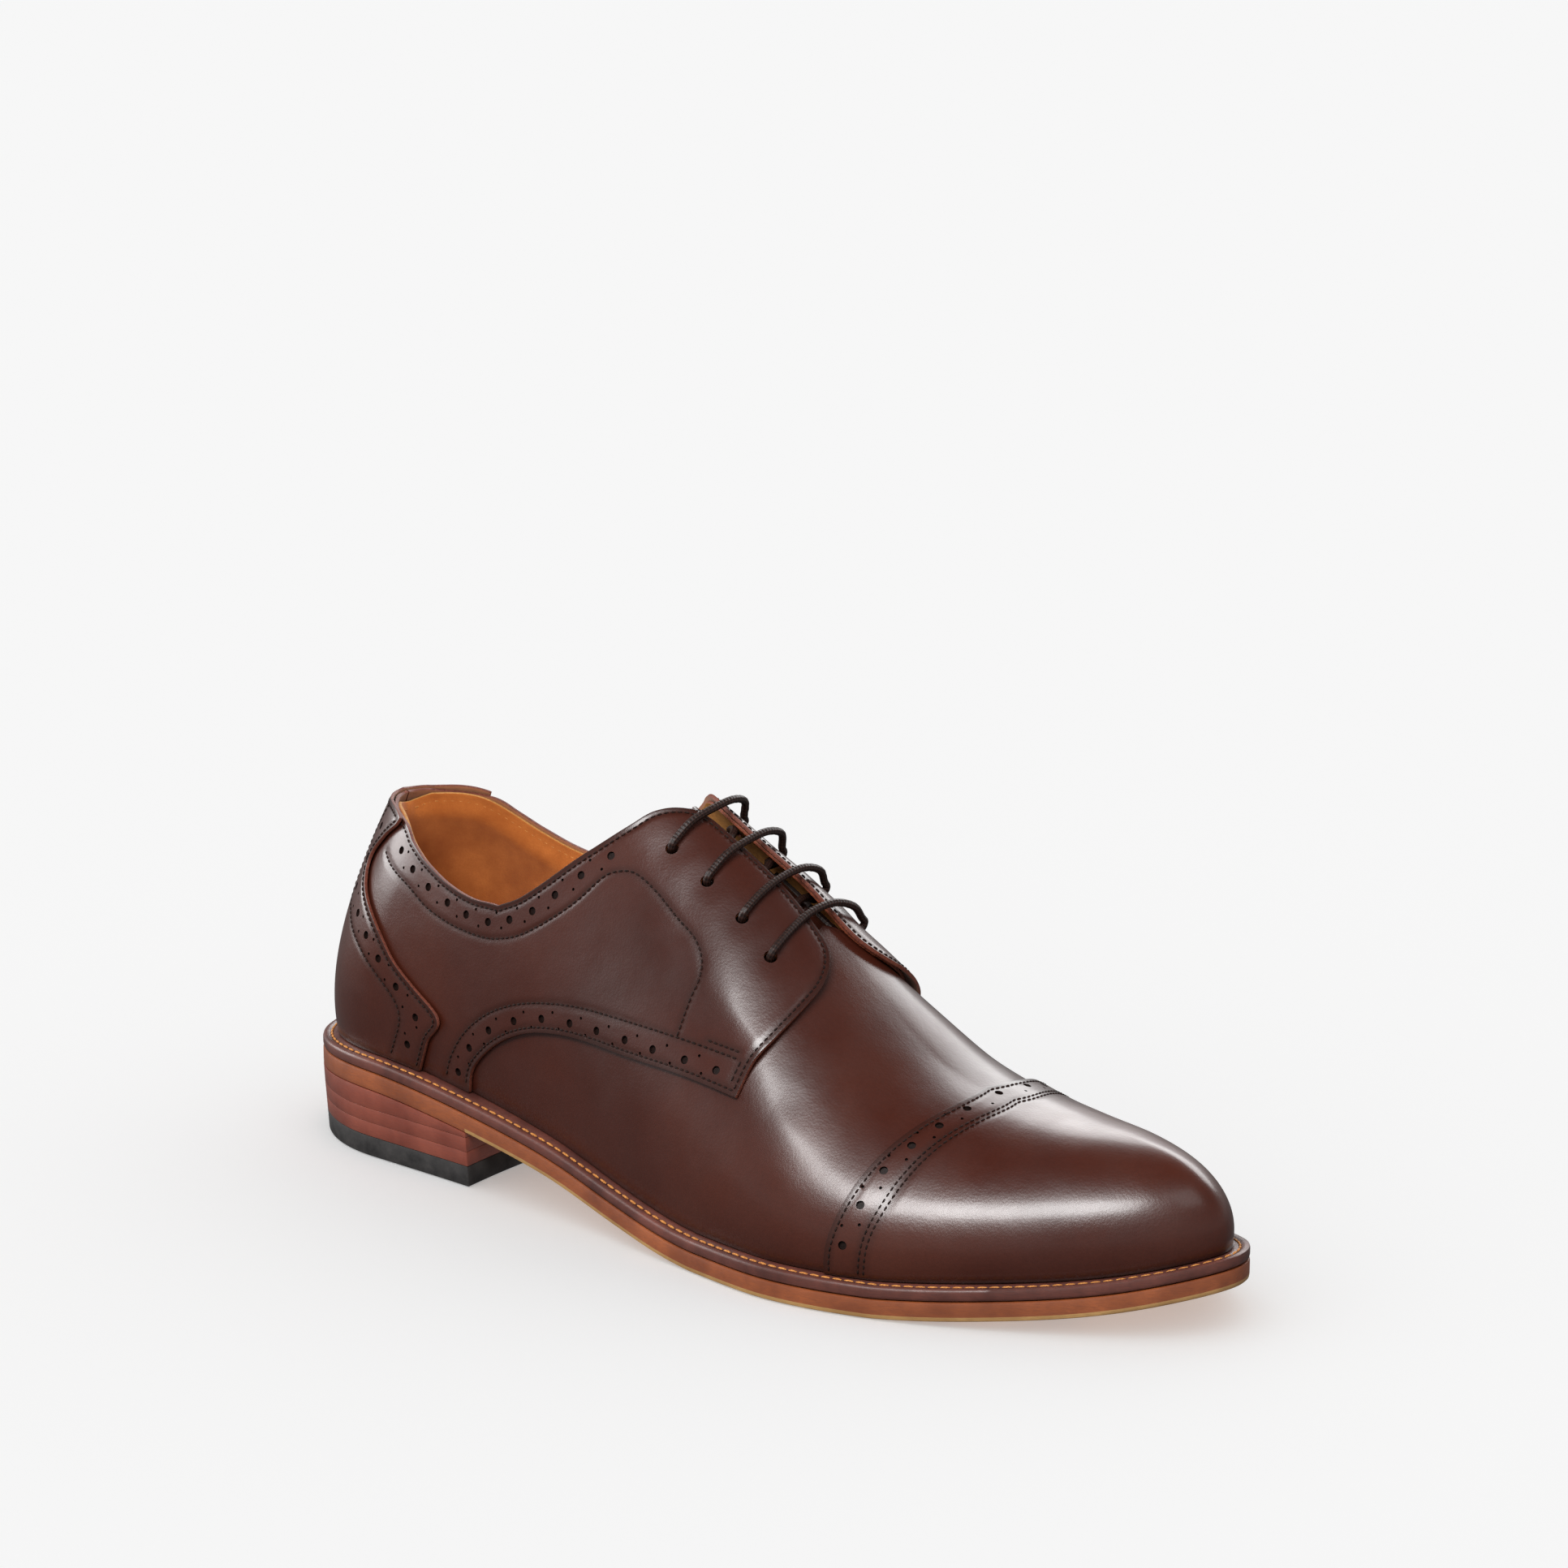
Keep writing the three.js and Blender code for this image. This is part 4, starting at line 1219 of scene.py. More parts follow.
class Wardrobe:
    """Every finish of the shoe, built once."""

    def __init__(self) -> None:
        """Builds all materials."""
        self.upper = BurnishedLeather().material()
        # A darker copy of the upper leather: painted shade for the tongue, which lies in shade under
        # the facings and the lace.
        self.tongue = BurnishedLeather(name="tongue_leather", deep="#260e08", middle="#32140c",
                                       light="#3e1b11").material()
        self.flesh = Suede(name="leather_flesh", dark="#7a4c33", light="#9a6848").material()
        self.edge = CutEdge().material()
        # Near-black walls and floors of the punched holes: painted shade inside the holes.
        self.punched = CutEdge(name="punched_hole_painted_shade", dark="#0b0402", light="#1d0b06").material()
        self.eyelet = CutEdge(name="eyelet_edge", dark="#4a2013", light="#7d3f28").material()
        self.lining = Suede().material()
        self.lining_edge = CutEdge(name="lining_edge", dark="#8a5a2c", light="#ab7a40",
                                   roughness=0.7).material()
        self.thread = Thread().material()
        self.welt_thread = Thread(name="welt_thread", dark="#8f5425", light="#bb8142",
                                  roughness=0.6).material()
        self.lace = WaxedBraid().material()
        self.welt = DyedSole(name="welt_leather", dark="#3a1b16", light="#63352b",
                             roughness=(0.38, 0.55)).material()
        self.sole = DyedSole().material()
        self.sole_rim = DyedSole(name="sole_rim", dark="#7d5a30", light="#a27d4a").material()
        self.sole_face = DyedSole(name="sole_face", dark="#9a6438", light="#bb8150",
                                  roughness=(0.5, 0.7), stretch=(4.0, 1.0, 1.0)).material()
        self.stack = DyedSole(name="heel_stack", dark="#632c20", light="#7f4030",
                              roughness=(0.3, 0.5), stretch=(0.7, 0.7, 9.0), coat=0.3).material()
        self.rubber = BlackRubber().material()
        self.sock = DyedSole(name="sock_leather", dark="#a87044", light="#c58d5d",
                             roughness=(0.55, 0.75), stretch=(1, 1, 1), coat=0.0).material()
        self.board = Granular("fibre_board", "#8b7350", "#b59c74", 1600).material()
        self.stiff = Granular("stiffening_felt", "#94866e", "#b9ab92", 1900).material()
        self.cloth = Granular("interlining_cloth", "#5d4a3a", "#7d6752", 1400).material()
        self.cork = Granular("cork_grain", "#6e4c2a", "#b08854", 700, 0.0003).material()
        self.steel = BrushedSteel().material()
        self.tip = BlackRubber(name="lace_tip", dark="#150c0a", light="#2a1a15").material()


# ---------------------------------------------------------------- mesh work
def grid_mesh(points: Array, uv: Array | None = None,
              row_finish: Callable[[int], int] | None = None) -> bmesh.types.BMesh:
    """A grid of faces laid on a table of points.

    Args:
        points: Frame points shaped (columns, rows, 3).
        uv: Map places of the same shape, or None for no map.
        row_finish: Material slot of the faces between row j and the next.

    Returns:
        The mesh, its doubles not yet merged.
    """
    columns, rows = points.shape[0] - 1, points.shape[1] - 1
    mesh = bmesh.new()
    bmesh.ops.create_grid(mesh, x_segments=columns, y_segments=rows, size=1.0)
    flat = np.array([v.co[:2] for v in mesh.verts])
    i = np.rint((flat[:, 0] + 1) / 2 * columns).astype(int)
    j = np.rint((flat[:, 1] + 1) / 2 * rows).astype(int)
    for vert, co in zip(mesh.verts, points[i, j]):
        vert.co = co
    mesh.verts.index_update()
    if uv is not None:
        layer = mesh.loops.layers.uv.new("cord")
        for face in mesh.faces:
            for loop in face.loops:
                loop[layer].uv = uv[i[loop.vert.index], j[loop.vert.index]]
    if row_finish is not None:
        for face in mesh.faces:
            face.material_index = row_finish(min(j[v.index] for v in face.verts))
    return mesh


def closed_object(name: str, mesh: bmesh.types.BMesh, *materials: Material) -> bpy.types.Object:
    """Merges a wrapped grid's seams and poles, closes it and makes it an object.

    Args:
        name: The object's name.
        mesh: The wrapped grid.
        materials: Finishes, by slot.

    Returns:
        The object.
    """
    bmesh.ops.remove_doubles(mesh, verts=mesh.verts, dist=WELD)
    rim = [edge for edge in mesh.edges if edge.is_boundary]
    if rim:
        bmesh.ops.holes_fill(mesh, edges=rim)
    bmesh.ops.recalc_face_normals(mesh, faces=mesh.faces)
    obj = to_object(name, mesh, *materials)
    obj.data.set_sharp_from_angle(angle=math.radians(CREASE))
    return obj


def to_object(name: str, mesh: bmesh.types.BMesh, *materials: Material) -> bpy.types.Object:
    """Turns a mesh under work into a smooth-shaded object at the origin.

    Args:
        name: The object's name.
        mesh: The mesh, which is freed.
        materials: Finishes, by slot.

    Returns:
        The object.
    """
    data = bpy.data.meshes.new(name)
    mesh.to_mesh(data)
    mesh.free()
    for material in materials:
        data.materials.append(material)
    data.shade_smooth()
    obj = bpy.data.objects.new(name, data)
    bpy.context.scene.collection.objects.link(obj)
    return obj


def settle(obj: bpy.types.Object) -> bpy.types.Object:
    """Applies an object's modifiers and marks its creases sharp.

    Args:
        obj: The object.

    Returns:
        The same object.
    """
    graph = bpy.context.evaluated_depsgraph_get()
    done = bpy.data.meshes.new_from_object(obj.evaluated_get(graph))
    old = obj.data
    obj.modifiers.clear()
    obj.data = done
    bpy.data.meshes.remove(old)
    done.name = obj.name
    done.shade_smooth()
    done.set_sharp_from_angle(angle=math.radians(CREASE))
    return obj


def round_edges(obj: bpy.types.Object, radius: float, angle: float) -> None:
    """Adds the modifier that rounds an object's edges.

    Args:
        obj: The object.
        radius: Width of the rounding, in millimetres.
        angle: Smallest angle of a rounded edge, in degrees.
    """
    rounding = obj.modifiers.new("edges", "BEVEL")
    rounding.width = radius * MM
    rounding.segments = 2
    rounding.limit_method = "ANGLE"
    rounding.angle_limit = math.radians(angle)


def nearness(points: Array, targets: Array, width: float) -> Array:
    """How near each point lies to any target, 1 on it and fading over a width.

    Args:
        points: Points to rate, one a row.
        targets: What they may be near.
        width: Distance over which the share fades.

    Returns:
        One share for each point.
    """
    if not len(targets):
        return np.zeros(len(points))
    tree = KDTree(len(targets))
    for i, target in enumerate(targets):
        tree.insert(target, i)
    tree.balance()
    gaps = np.array([tree.find(p)[2] for p in points])
    return np.exp(-((gaps / width) ** 2))


@dataclass(frozen=True)
class Seam:
    """A row of stitches on a panel, given by pattern places on the lateral half."""

    places: Array
    mirrored: bool = True
    pitch: float = 1.85

    def sides(self) -> list[Array]:
        """The row on the lateral side and, where mirrored, on the medial one."""
        return [self.places, over(self.places)] if self.mirrored else [self.places]


def inset(line: Array, amount: float, outer: Surface) -> Array:
    """A pattern line moved to its left by some millimetres on the surface.

    Args:
        line: Pattern places, one a row.
        amount: Distance, negative to the right.
        outer: Height of the surface off the last.

    Returns:
        The moved places.
    """
    t, tau = line[:, 0], line[:, 1]
    here = LAST.place(t, tau, outer(t, tau))
    way = np.gradient(here, axis=0)
    side = np.cross(LAST.normal(t, tau), way)
    side /= np.linalg.norm(side, axis=1, keepdims=True)
    dt, dtau = 1e-4, 1e-3  # short steps that measure the surface's own directions
    by_t = (LAST.place(t + dt, tau, outer(t + dt, tau)) - here) / dt
    by_tau = (LAST.place(t, tau + dtau, outer(t, tau + dtau)) - here) / dtau
    steps = np.empty_like(line)
    for i, basis in enumerate(np.stack([by_t, by_tau], -1)):
        steps[i] = np.linalg.lstsq(basis, side[i] * amount, rcond=None)[0]
    return line + steps


@dataclass
class Stitcher:
    """Sews rows of thread: each stitch is a small capsule half sunk in the leather."""

    material: Material
    thickness: float = 0.58
    share: float = 0.76

    def _capsule(self, mesh: bmesh.types.BMesh, centre: Vector, way: Vector, up: Vector,
                 length: float) -> None:
        """Adds one stitch.

        Args:
            mesh: What it is added to.
            centre: Its middle.
            way: Unit vector along it.
            up: Unit normal of the surface.
            length: Its length, in metres.
        """
        side = up.cross(way).normalized()
        turn = Matrix((way, side, up)).transposed().to_4x4()
        size = Matrix.Diagonal((length / 2, self.thickness * MM / 2, self.thickness * MM / 2, 1))
        swing = Matrix.Rotation(math.pi / 2, 4, "Y")
        bmesh.ops.create_uvsphere(mesh, u_segments=6, v_segments=5, radius=1.0,
                                  matrix=Matrix.Translation(centre) @ turn @ size @ swing)

    def row(self, points: Array, normals: Array) -> bmesh.types.BMesh:
        """One row of stitches, each between two neighbouring needle holes.

        Args:
            points: Needle holes, in frame metres.
            normals: Surface normal at each.

        Returns:
            A mesh with the row.
        """
        mesh = bmesh.new()
        for a, b, up in zip(points, points[1:], normals):
            start, end = Vector(a), Vector(b)
            way = end - start
            length = way.length * self.share
            way.normalize()
            lifted = Vector(up) - way * Vector(up).dot(way)
            self._capsule(mesh, (start + end) / 2, way, lifted.normalized(), length)
        return mesh

    def sew(self, name: str, seams: Sequence[Seam], outer: Surface,
            sink: float = 0.1) -> bpy.types.Object:
        """Sews all rows of one panel as one object.

        Args:
            name: The object's name.
            seams: The rows.
            outer: Height of the panel's face off the last.
            sink: Depth of the thread's middle under the face.

        Returns:
            The object with every stitch.
        """
        whole = bmesh.new()
        scrap = bpy.data.meshes.new("row")
        for seam in seams:
            for places in seam.sides():
                points, normals = needle_holes(places, seam.pitch, outer, -sink)
                part = self.row(points, normals)
                part.to_mesh(scrap)
                part.free()
                whole.from_mesh(scrap)
        bpy.data.meshes.remove(scrap)
        return to_object(name, whole, self.material)


def needle_holes(places: Array, pitch: float, outer: Surface,
                 lift: float) -> tuple[Array, Array]:
    """Points and normals at an even pitch along a pattern line.

    Args:
        places: Pattern places of a dense line.
        pitch: Distance between points, in millimetres.
        outer: Height of the surface off the last.
        lift: Extra height over that surface.

    Returns:
        Frame points and unit normals.
    """
    t, tau = places[:, 0], places[:, 1]
    line = LAST.place(t, tau, outer(t, tau))
    length = np.linalg.norm(np.diff(line, axis=0), axis=1).sum()
    spots = evenly(places, max(1, round(length / pitch)), weights=line)
    t, tau = spots[:, 0], spots[:, 1]
    points = LAST.place(t, tau, outer(t, tau) + lift)
    return to_frame(points), LAST.normal(t, tau)


CUTTER_ABOVE = 2.0  # how far a punch stands over the face, in millimetres


@dataclass(frozen=True)
class Punch:
    """A round hole to punch: where, how wide and how deep, in millimetres."""

    point: Array
    normal: Array
    diameter: float
    depth: float


def punches(spots: Array, outer: Surface, diameter: float, depth: float) -> list[Punch]:
    """Holes of one size at some pattern places.

    Args:
        spots: Pattern places, one a row.
        outer: Height of the panel's face off the last.
        diameter: Width of each hole, in millimetres.
        depth: Depth of each under the face, in millimetres.

    Returns:
        The holes.
    """
    t, tau = spots[:, 0], spots[:, 1]
    points = to_frame(LAST.place(t, tau, outer(t, tau)))
    return [Punch(p, n, diameter, depth) for p, n in zip(points, LAST.normal(t, tau))]


def punch(obj: bpy.types.Object, holes: Sequence[Punch], wall: Material,
          sides: int = 18) -> None:
    """Punches holes into a closed panel and keeps the walls' own finish.

    Args:
        obj: The panel.
        holes: The holes.
        wall: Finish of the holes' walls.
        sides: Sides of each round cutter.
    """
    mesh = bmesh.new()
    for hole in holes:
        length = hole.depth + CUTTER_ABOVE
        middle = Vector(hole.point) + Vector(hole.normal) * (length / 2 - hole.depth) * MM
        turn = Vector(hole.normal).to_track_quat("Z", "Y").to_matrix().to_4x4()
        radius = hole.diameter * MM / 2
        bmesh.ops.create_cone(mesh, cap_ends=True, segments=sides, radius1=radius,
                              radius2=radius, depth=length * MM,
                              matrix=Matrix.Translation(middle) @ turn)
    cutter = to_object("cutter", mesh, wall)
    cut = obj.modifiers.new("punch", "BOOLEAN")
    cut.operation = "DIFFERENCE"
    cut.object = cutter
    cut.solver = "MANIFOLD"
    cut.material_mode = "TRANSFER"
    settle(obj)
    data = cutter.data
    bpy.data.objects.remove(cutter)
    bpy.data.meshes.remove(data)


@dataclass
class Panel:
    """One leather ply: a grid on the last, grooved by its seams, with rounded cut edges."""

    name: str
    grid: Array
    outer: Surface
    thickness: float
    finishes: tuple[Material, Material, Material]
    seams: Sequence[Seam] = ()
    relief: Curve | None = None
    groove: float = 0.2
    groove_width: float = 0.8
    edge_round: float = 0.28
    bevel_angle: float = 55.0
    seam_sampling: float = 0.4
    rim_painted_shade: Pair = (0.8, 1.5)  # painted shade: how dark the cut edge's surroundings are painted, and how wide
    # Painted shade along the seams: how dark, and how wide.
    seam_painted_shade: Pair = (0.55, 1.1)

    def _seam_points(self) -> Array:
        """All seams as points close together, in design millimetres.

        Returns:
            The points, one a row.
        """
        lines = []
        for seam in self.seams:
            for places in seam.sides():
                t, tau = places[:, 0], places[:, 1]
                line = LAST.place(t, tau, self.outer(t, tau))
                length = np.linalg.norm(np.diff(line, axis=0), axis=1).sum()
                lines.append(evenly(line, max(2, round(length / self.seam_sampling))))
        return np.vstack(lines) if lines else np.empty((0, 3))

    def build(self) -> bpy.types.Object:
        """Builds the panel as one closed solid.

        Returns:
            The panel's object, its modifiers applied.
        """
        t, tau = self.grid[..., 0], self.grid[..., 1]
        outer = np.broadcast_to(self.outer(t, tau), t.shape)
        face = LAST.place(t, tau, outer)
        flat = face.reshape(-1, 3)
        sunk = nearness(flat, self._seam_points(), self.groove_width).reshape(t.shape)
        lift = -self.groove * sunk
        if self.relief is not None:
            lift = lift + self.relief(face)
        mesh = grid_mesh(to_frame(LAST.place(t, tau, outer + lift)))
        bmesh.ops.remove_doubles(mesh, verts=mesh.verts, dist=WELD)
        rim = np.array([v.co for v in mesh.verts if v.is_boundary])
        # Painted shade: a vertex number, read by the leather's finish, that darkens the face next to
        # the cut edge and the seams.
        layer = mesh.verts.layers.float.new("edge")
        places = np.array([v.co for v in mesh.verts])
        painted_shade = self.rim_painted_shade[0] * nearness(places, rim, self.rim_painted_shade[1] * MM)
        rows = to_frame(self._seam_points()) if self.seams else np.empty((0, 3))
        painted_shade_by_seams = self.seam_painted_shade[0] * nearness(places, rows, self.seam_painted_shade[1] * MM)
        painted_shade = np.maximum(painted_shade, painted_shade_by_seams)
        for vert, value in zip(mesh.verts, painted_shade):
            vert[layer] = value
        obj = to_object(self.name, mesh, *self.finishes)
        wall = obj.modifiers.new("ply", "SOLIDIFY")
        wall.thickness = self.thickness * MM
        wall.offset = -1.0
        wall.material_offset = 1
        wall.material_offset_rim = 2
        round_edges(obj, self.edge_round, self.bevel_angle)
        return settle(obj)


def attach(obj: bpy.types.Object, slot: Slot, *nodes: str, body: str = SHOE_BODY) -> None:
    """Lets a finished piece ride on its body, in place of some frame nodes.

    Args:
        obj: The piece.
        slot: The record's slot; not used.
        nodes: Frame nodes that it stands for.
        body: The body that it rides on.
    """
    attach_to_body(obj, body)
    if nodes:
        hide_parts(*nodes)
    log.info("%s: %d faces", obj.name, len(obj.data.polygons))


# ---------------------------------------------------------------- upper
@dataclass
class Upper:
    """Toe cap, vamp, quarters and heel patch, with their seams and punched rows."""

    wardrobe: Wardrobe
    big_hole: float = 2.3
    small_hole: float = 0.85
    hole_depth: float = 0.82
    small_offset: float = 2.1
    edge_seam: float = 1.4
    eyelet: float = 3.6
    eyelet_depth: float = 3.0
    eyelet_sides: int = 28
    eyelet_pull: Pair = (0.28, 5.0)  # depth and reach of the dip round an eyelet
    pair_slant: float = 0.4
    band_twin: float = 1.9
    end_row: float = 3.1
    cap_twin: float = 1.5
    collar_holes: tuple[Pair, ...] = (
        (0.1079, 0.465), (0.1233, 0.413), (0.1367, 0.367), (0.1496, 0.333), (0.1604, 0.315),
        (0.1713, 0.315), (0.1804, 0.338), (0.1888, 0.378), (0.1958, 0.435), (0.2029, 0.508),
        (0.2104, 0.595))
    collar_seam: tuple[Pair, ...] = (
        (0.0883, 0.473), (0.1208, 0.388), (0.1408, 0.32), (0.1562, 0.29), (0.1696, 0.285),
        (0.1767, 0.295), (0.185, 0.32), (0.1942, 0.372), (0.2042, 0.455), (0.2117, 0.552),
        (0.215, 0.578), (0.22, 0.605), (0.2288, 0.613), (0.2404, 0.605), (0.2479, 0.603),
        (0.2525, 0.583), (0.2546, 0.545), (0.2538, 0.48), (0.2533, 0.427), (0.2529, 0.388))
    band_seam: tuple[Pair, ...] = (
        (0.1537, 0.015), (0.1562, 0.048), (0.1633, 0.103), (0.1729, 0.15), (0.1846, 0.193),
        (0.1967, 0.23), (0.2125, 0.273), (0.2283, 0.315), (0.2446, 0.362), (0.2588, 0.408),
        (0.2745, 0.468))
    band_holes: tuple[Pair, ...] = (
        (0.1604, 0.033), (0.1671, 0.088), (0.1767, 0.135), (0.1879, 0.175), (0.1996, 0.21),
        (0.2113, 0.238), (0.2225, 0.265), (0.2342, 0.295), (0.2454, 0.325), (0.2575, 0.362),
        (0.2688, 0.403))
    patch_holes: tuple[Pair, ...] = (
        (0.0667, 0.53), (0.0645, 0.46), (0.0671, 0.393), (0.0904, 0.335), (0.1063, 0.285),
        (0.1188, 0.233), (0.1308, 0.175), (0.1417, 0.118), (0.1363, 0.058))
    patch_seam: tuple[Pair, ...] = (
        (0.1254, 0.022), (0.1329, 0.11), (0.1313, 0.138), (0.1054, 0.25), (0.0796, 0.325),
        (0.054, 0.39), (0.047, 0.46), (0.05, 0.53), (0.058, 0.585))
    cap_holes: Stations = Stations((
        (0.138, 0.3229), (0.302, 0.3267), (0.45, 0.3313), (0.58, 0.3379), (0.708, 0.345),
        (0.848, 0.3529), (1.0, 0.3642)))
    cap_seam: Stations = Stations((
        (0.0, 0.3273), (0.198, 0.3296), (0.312, 0.3329), (0.465, 0.3383), (0.625, 0.3458),
        (0.79, 0.3563), (1.0, 0.3728)))
    creases: tuple[tuple[float, ...], ...] = (
        (196, -39, 47, 0.55, -0.45, 22, 6.5, -0.32), (203, -45, 38, 0.7, -0.3, 19, 6.0, -0.22),
        (199, -42, 43, 0.62, -0.38, 20, 5.5, 0.22), (210, -30, 50, 0.2, -0.9, 19, 7.5, -0.2),
        (207, 40, 42, 0.6, 0.4, 21, 7.0, -0.25), (214, 34, 45, 0.5, 0.6, 19, 7.5, 0.16))

    def _broguing(self, spots: Array, outer: Surface, side: Side) -> list[Punch]:
        """A row of big holes with a slanting pair of small ones in each gap.

        Args:
            spots: Big holes, in order.
            outer: Height of the panel's face off the last.
            side: The side that they go to.

        Returns:
            The holes.
        """
        near, far = self.pair_slant, 1 - self.pair_slant
        before = spots[:-1] * far + spots[1:] * near
        after = spots[:-1] * near + spots[1:] * far
        small = np.vstack([inset(before, self.small_offset, outer),
                           inset(after, -self.small_offset, outer)])
        return (punches(side.spots(spots), outer, self.big_hole, self.hole_depth)
                + punches(side.spots(small), outer, self.small_hole, self.hole_depth))

    def _edge_line(self) -> Array:
        """The quarter's free edge from the collar, round the facing, to the band."""
        return joined(trace(PATTERN.topline_rear, 120)[54:], trace(PATTERN.topline_front, 120),
                      trace(PATTERN.facing_edge, 90), trace(PATTERN.flap_end[::-1], 90))

    def quarter_seams(self) -> list[Seam]:
        """Every row sewn on a quarter.

        Returns:
            The rows, on the lateral side.
        """
        outer = PLIES.quarter
        band = trace(self.band_seam, 160)
        end = trace(PATTERN.flap_end, 90)[6:18]
        lines = [
            inset(self._edge_line(), -self.edge_seam, outer)[:-3],
            trace(self.collar_seam, 300),
            inset(trace(PATTERN.band_edge, 160), self.edge_seam, outer)[3:-2],
            band,
            inset(band[-16:], self.band_twin, outer),
            inset(end, self.end_row, outer),
        ]
        return [Seam(line, mirrored=False) for line in lines]

    def _near_eyelets(self, face: Array) -> Array:
        """A slight pull of the leather round each eyelet.

        Args:
            face: Points of the quarter's face.

        Returns:
            Lift of each point, in millimetres.
        """
        eyelets = np.array(PATTERN.eyelets)
        t, tau = np.vstack([eyelets, over(eyelets)]).T
        holes = LAST.place(t, tau, PLIES.quarter(t, tau))
        depth, reach = self.eyelet_pull
        return -depth * nearness(face.reshape(-1, 3), holes, reach).reshape(face.shape[:2])

    def quarters(self) -> None:
        """Builds and punches the quarter of each side, and sews it."""
        w = self.wardrobe
        outer = PLIES.quarter
        for side in SIDES:
            seams = [Seam(side.spots(seam.places), False) for seam in self.quarter_seams()]
            panel = Panel(f"quarter_{side.name}_leather", side.grid(PATTERN.quarter_grid(8)),
                          outer, PLIES.leather, (w.upper, w.flesh, w.edge), seams,
                          relief=self._near_eyelets)
            obj = panel.build()
            holes = self._broguing(np.array(self.collar_holes), outer, side)
            holes += self._broguing(np.array(self.band_holes), outer, side)
            punch(obj, holes, w.punched)
            eyelets = side.spots(np.array(PATTERN.eyelets))
            bores = punches(eyelets, outer, self.eyelet, self.eyelet_depth)
            punch(obj, bores, w.eyelet, self.eyelet_sides)
            attach(obj, Slot.UPPER, f"quarter_{side.name}")
            rows = Stitcher(w.thread).sew(f"quarter_{side.name}_stitching", seams, outer)
            attach(rows, Slot.UPPER)

    def _folds(self, face: Array) -> Array:
        """Walking folds of the vamp: long soft dips and ridges.

        Args:
            face: Points of the vamp's face.

        Returns:
            Lift of each point, in millimetres.
        """
        lift = np.zeros(face.shape[:2])
        for x, y, z, dx, dy, length, width, height in self.creases:
            gap = face - [x, y, z]
            way = np.array([dx, dy, 0.0]) / math.hypot(dx, dy)
            along = gap @ way
            across = np.linalg.norm(gap - along[..., None] * way, axis=-1)
            lift += height * np.exp(-((along / length) ** 2) - (across / width) ** 2)
        return lift

    def vamp(self) -> None:
        """Builds the vamp with its walking folds."""
        w = self.wardrobe
        panel = Panel("vamp_leather", PATTERN.vamp_grid(8), PLIES.vamp, PLIES.shell,
                      (w.upper, w.flesh, w.edge), relief=self._folds)
        attach(panel.build(), Slot.UPPER, "vamp")

    def toe_cap(self) -> None:
        """Builds the toe cap, its punched row and its single and double seams."""
        w = self.wardrobe
        tau = np.linspace(0.02, 1.98, 400)
        fold = np.minimum(tau, 2 - tau)
        outer = PLIES.cap
        rear = np.stack([PATTERN.cap_rear(fold), tau], -1)
        second = np.stack([self.cap_seam(fold), tau], -1)
        seams = [Seam(inset(rear, -self.edge_seam, outer), False),
                 Seam(second, False), Seam(inset(second, -self.cap_twin, outer), False)]
        panel = Panel("toe_cap_leather", PATTERN.toe_grid(120, 110), outer, PLIES.leather,
                      (w.upper, w.flesh, w.edge), seams)
        obj = panel.build()
        half = np.array([p[0] for p in self.cap_holes.points])
        around = np.concatenate([half, 2 - half[-2::-1]])
        spots = np.stack([self.cap_holes(np.minimum(around, 2 - around)), around], -1)
        punch(obj, self._broguing(spots, outer, SIDES[0]), w.punched)
        attach(obj, Slot.UPPER, "toe_cap")
        attach(Stitcher(w.thread).sew("toe_cap_stitching", seams, outer), Slot.UPPER)

    def heel_patch(self) -> None:
        """Builds the heel patch, which runs on both sides of the heel back."""
        w = self.wardrobe
        outer = PLIES.patch
        rise = np.linspace(0.02, 0.97, 200)
        front_t = PATTERN.patch_front(rise)
        front = np.stack([front_t, rise * PATTERN.topline(front_t)], -1)
        inner = trace(self.patch_seam, 200)
        top_t = np.linspace(0.0, 0.088, 90)
        top = np.stack([top_t, PATTERN.topline(top_t)], -1)
        seams = [Seam(inset(front, self.edge_seam, outer)), Seam(inner),
                 Seam(inset(top, -self.edge_seam, outer))]
        grid = PATTERN.heel_grid(PATTERN.patch_front, PATTERN.topline, 90, 96)
        panel = Panel("heel_patch_leather", grid, outer, PLIES.leather,
                      (w.upper, w.flesh, w.edge), seams)
        obj = panel.build()
        spots = np.array(self.patch_holes)
        punch(obj, [hole for side in SIDES for hole in self._broguing(spots, outer, side)],
              w.punched)
        attach(obj, Slot.UPPER, "heel_patch")
        attach(Stitcher(w.thread).sew("heel_patch_stitching", seams, outer), Slot.UPPER)

    def build(self) -> None:
        """Builds the whole outside of the upper."""
        self.vamp()
        self.quarters()
        self.toe_cap()
        self.heel_patch()


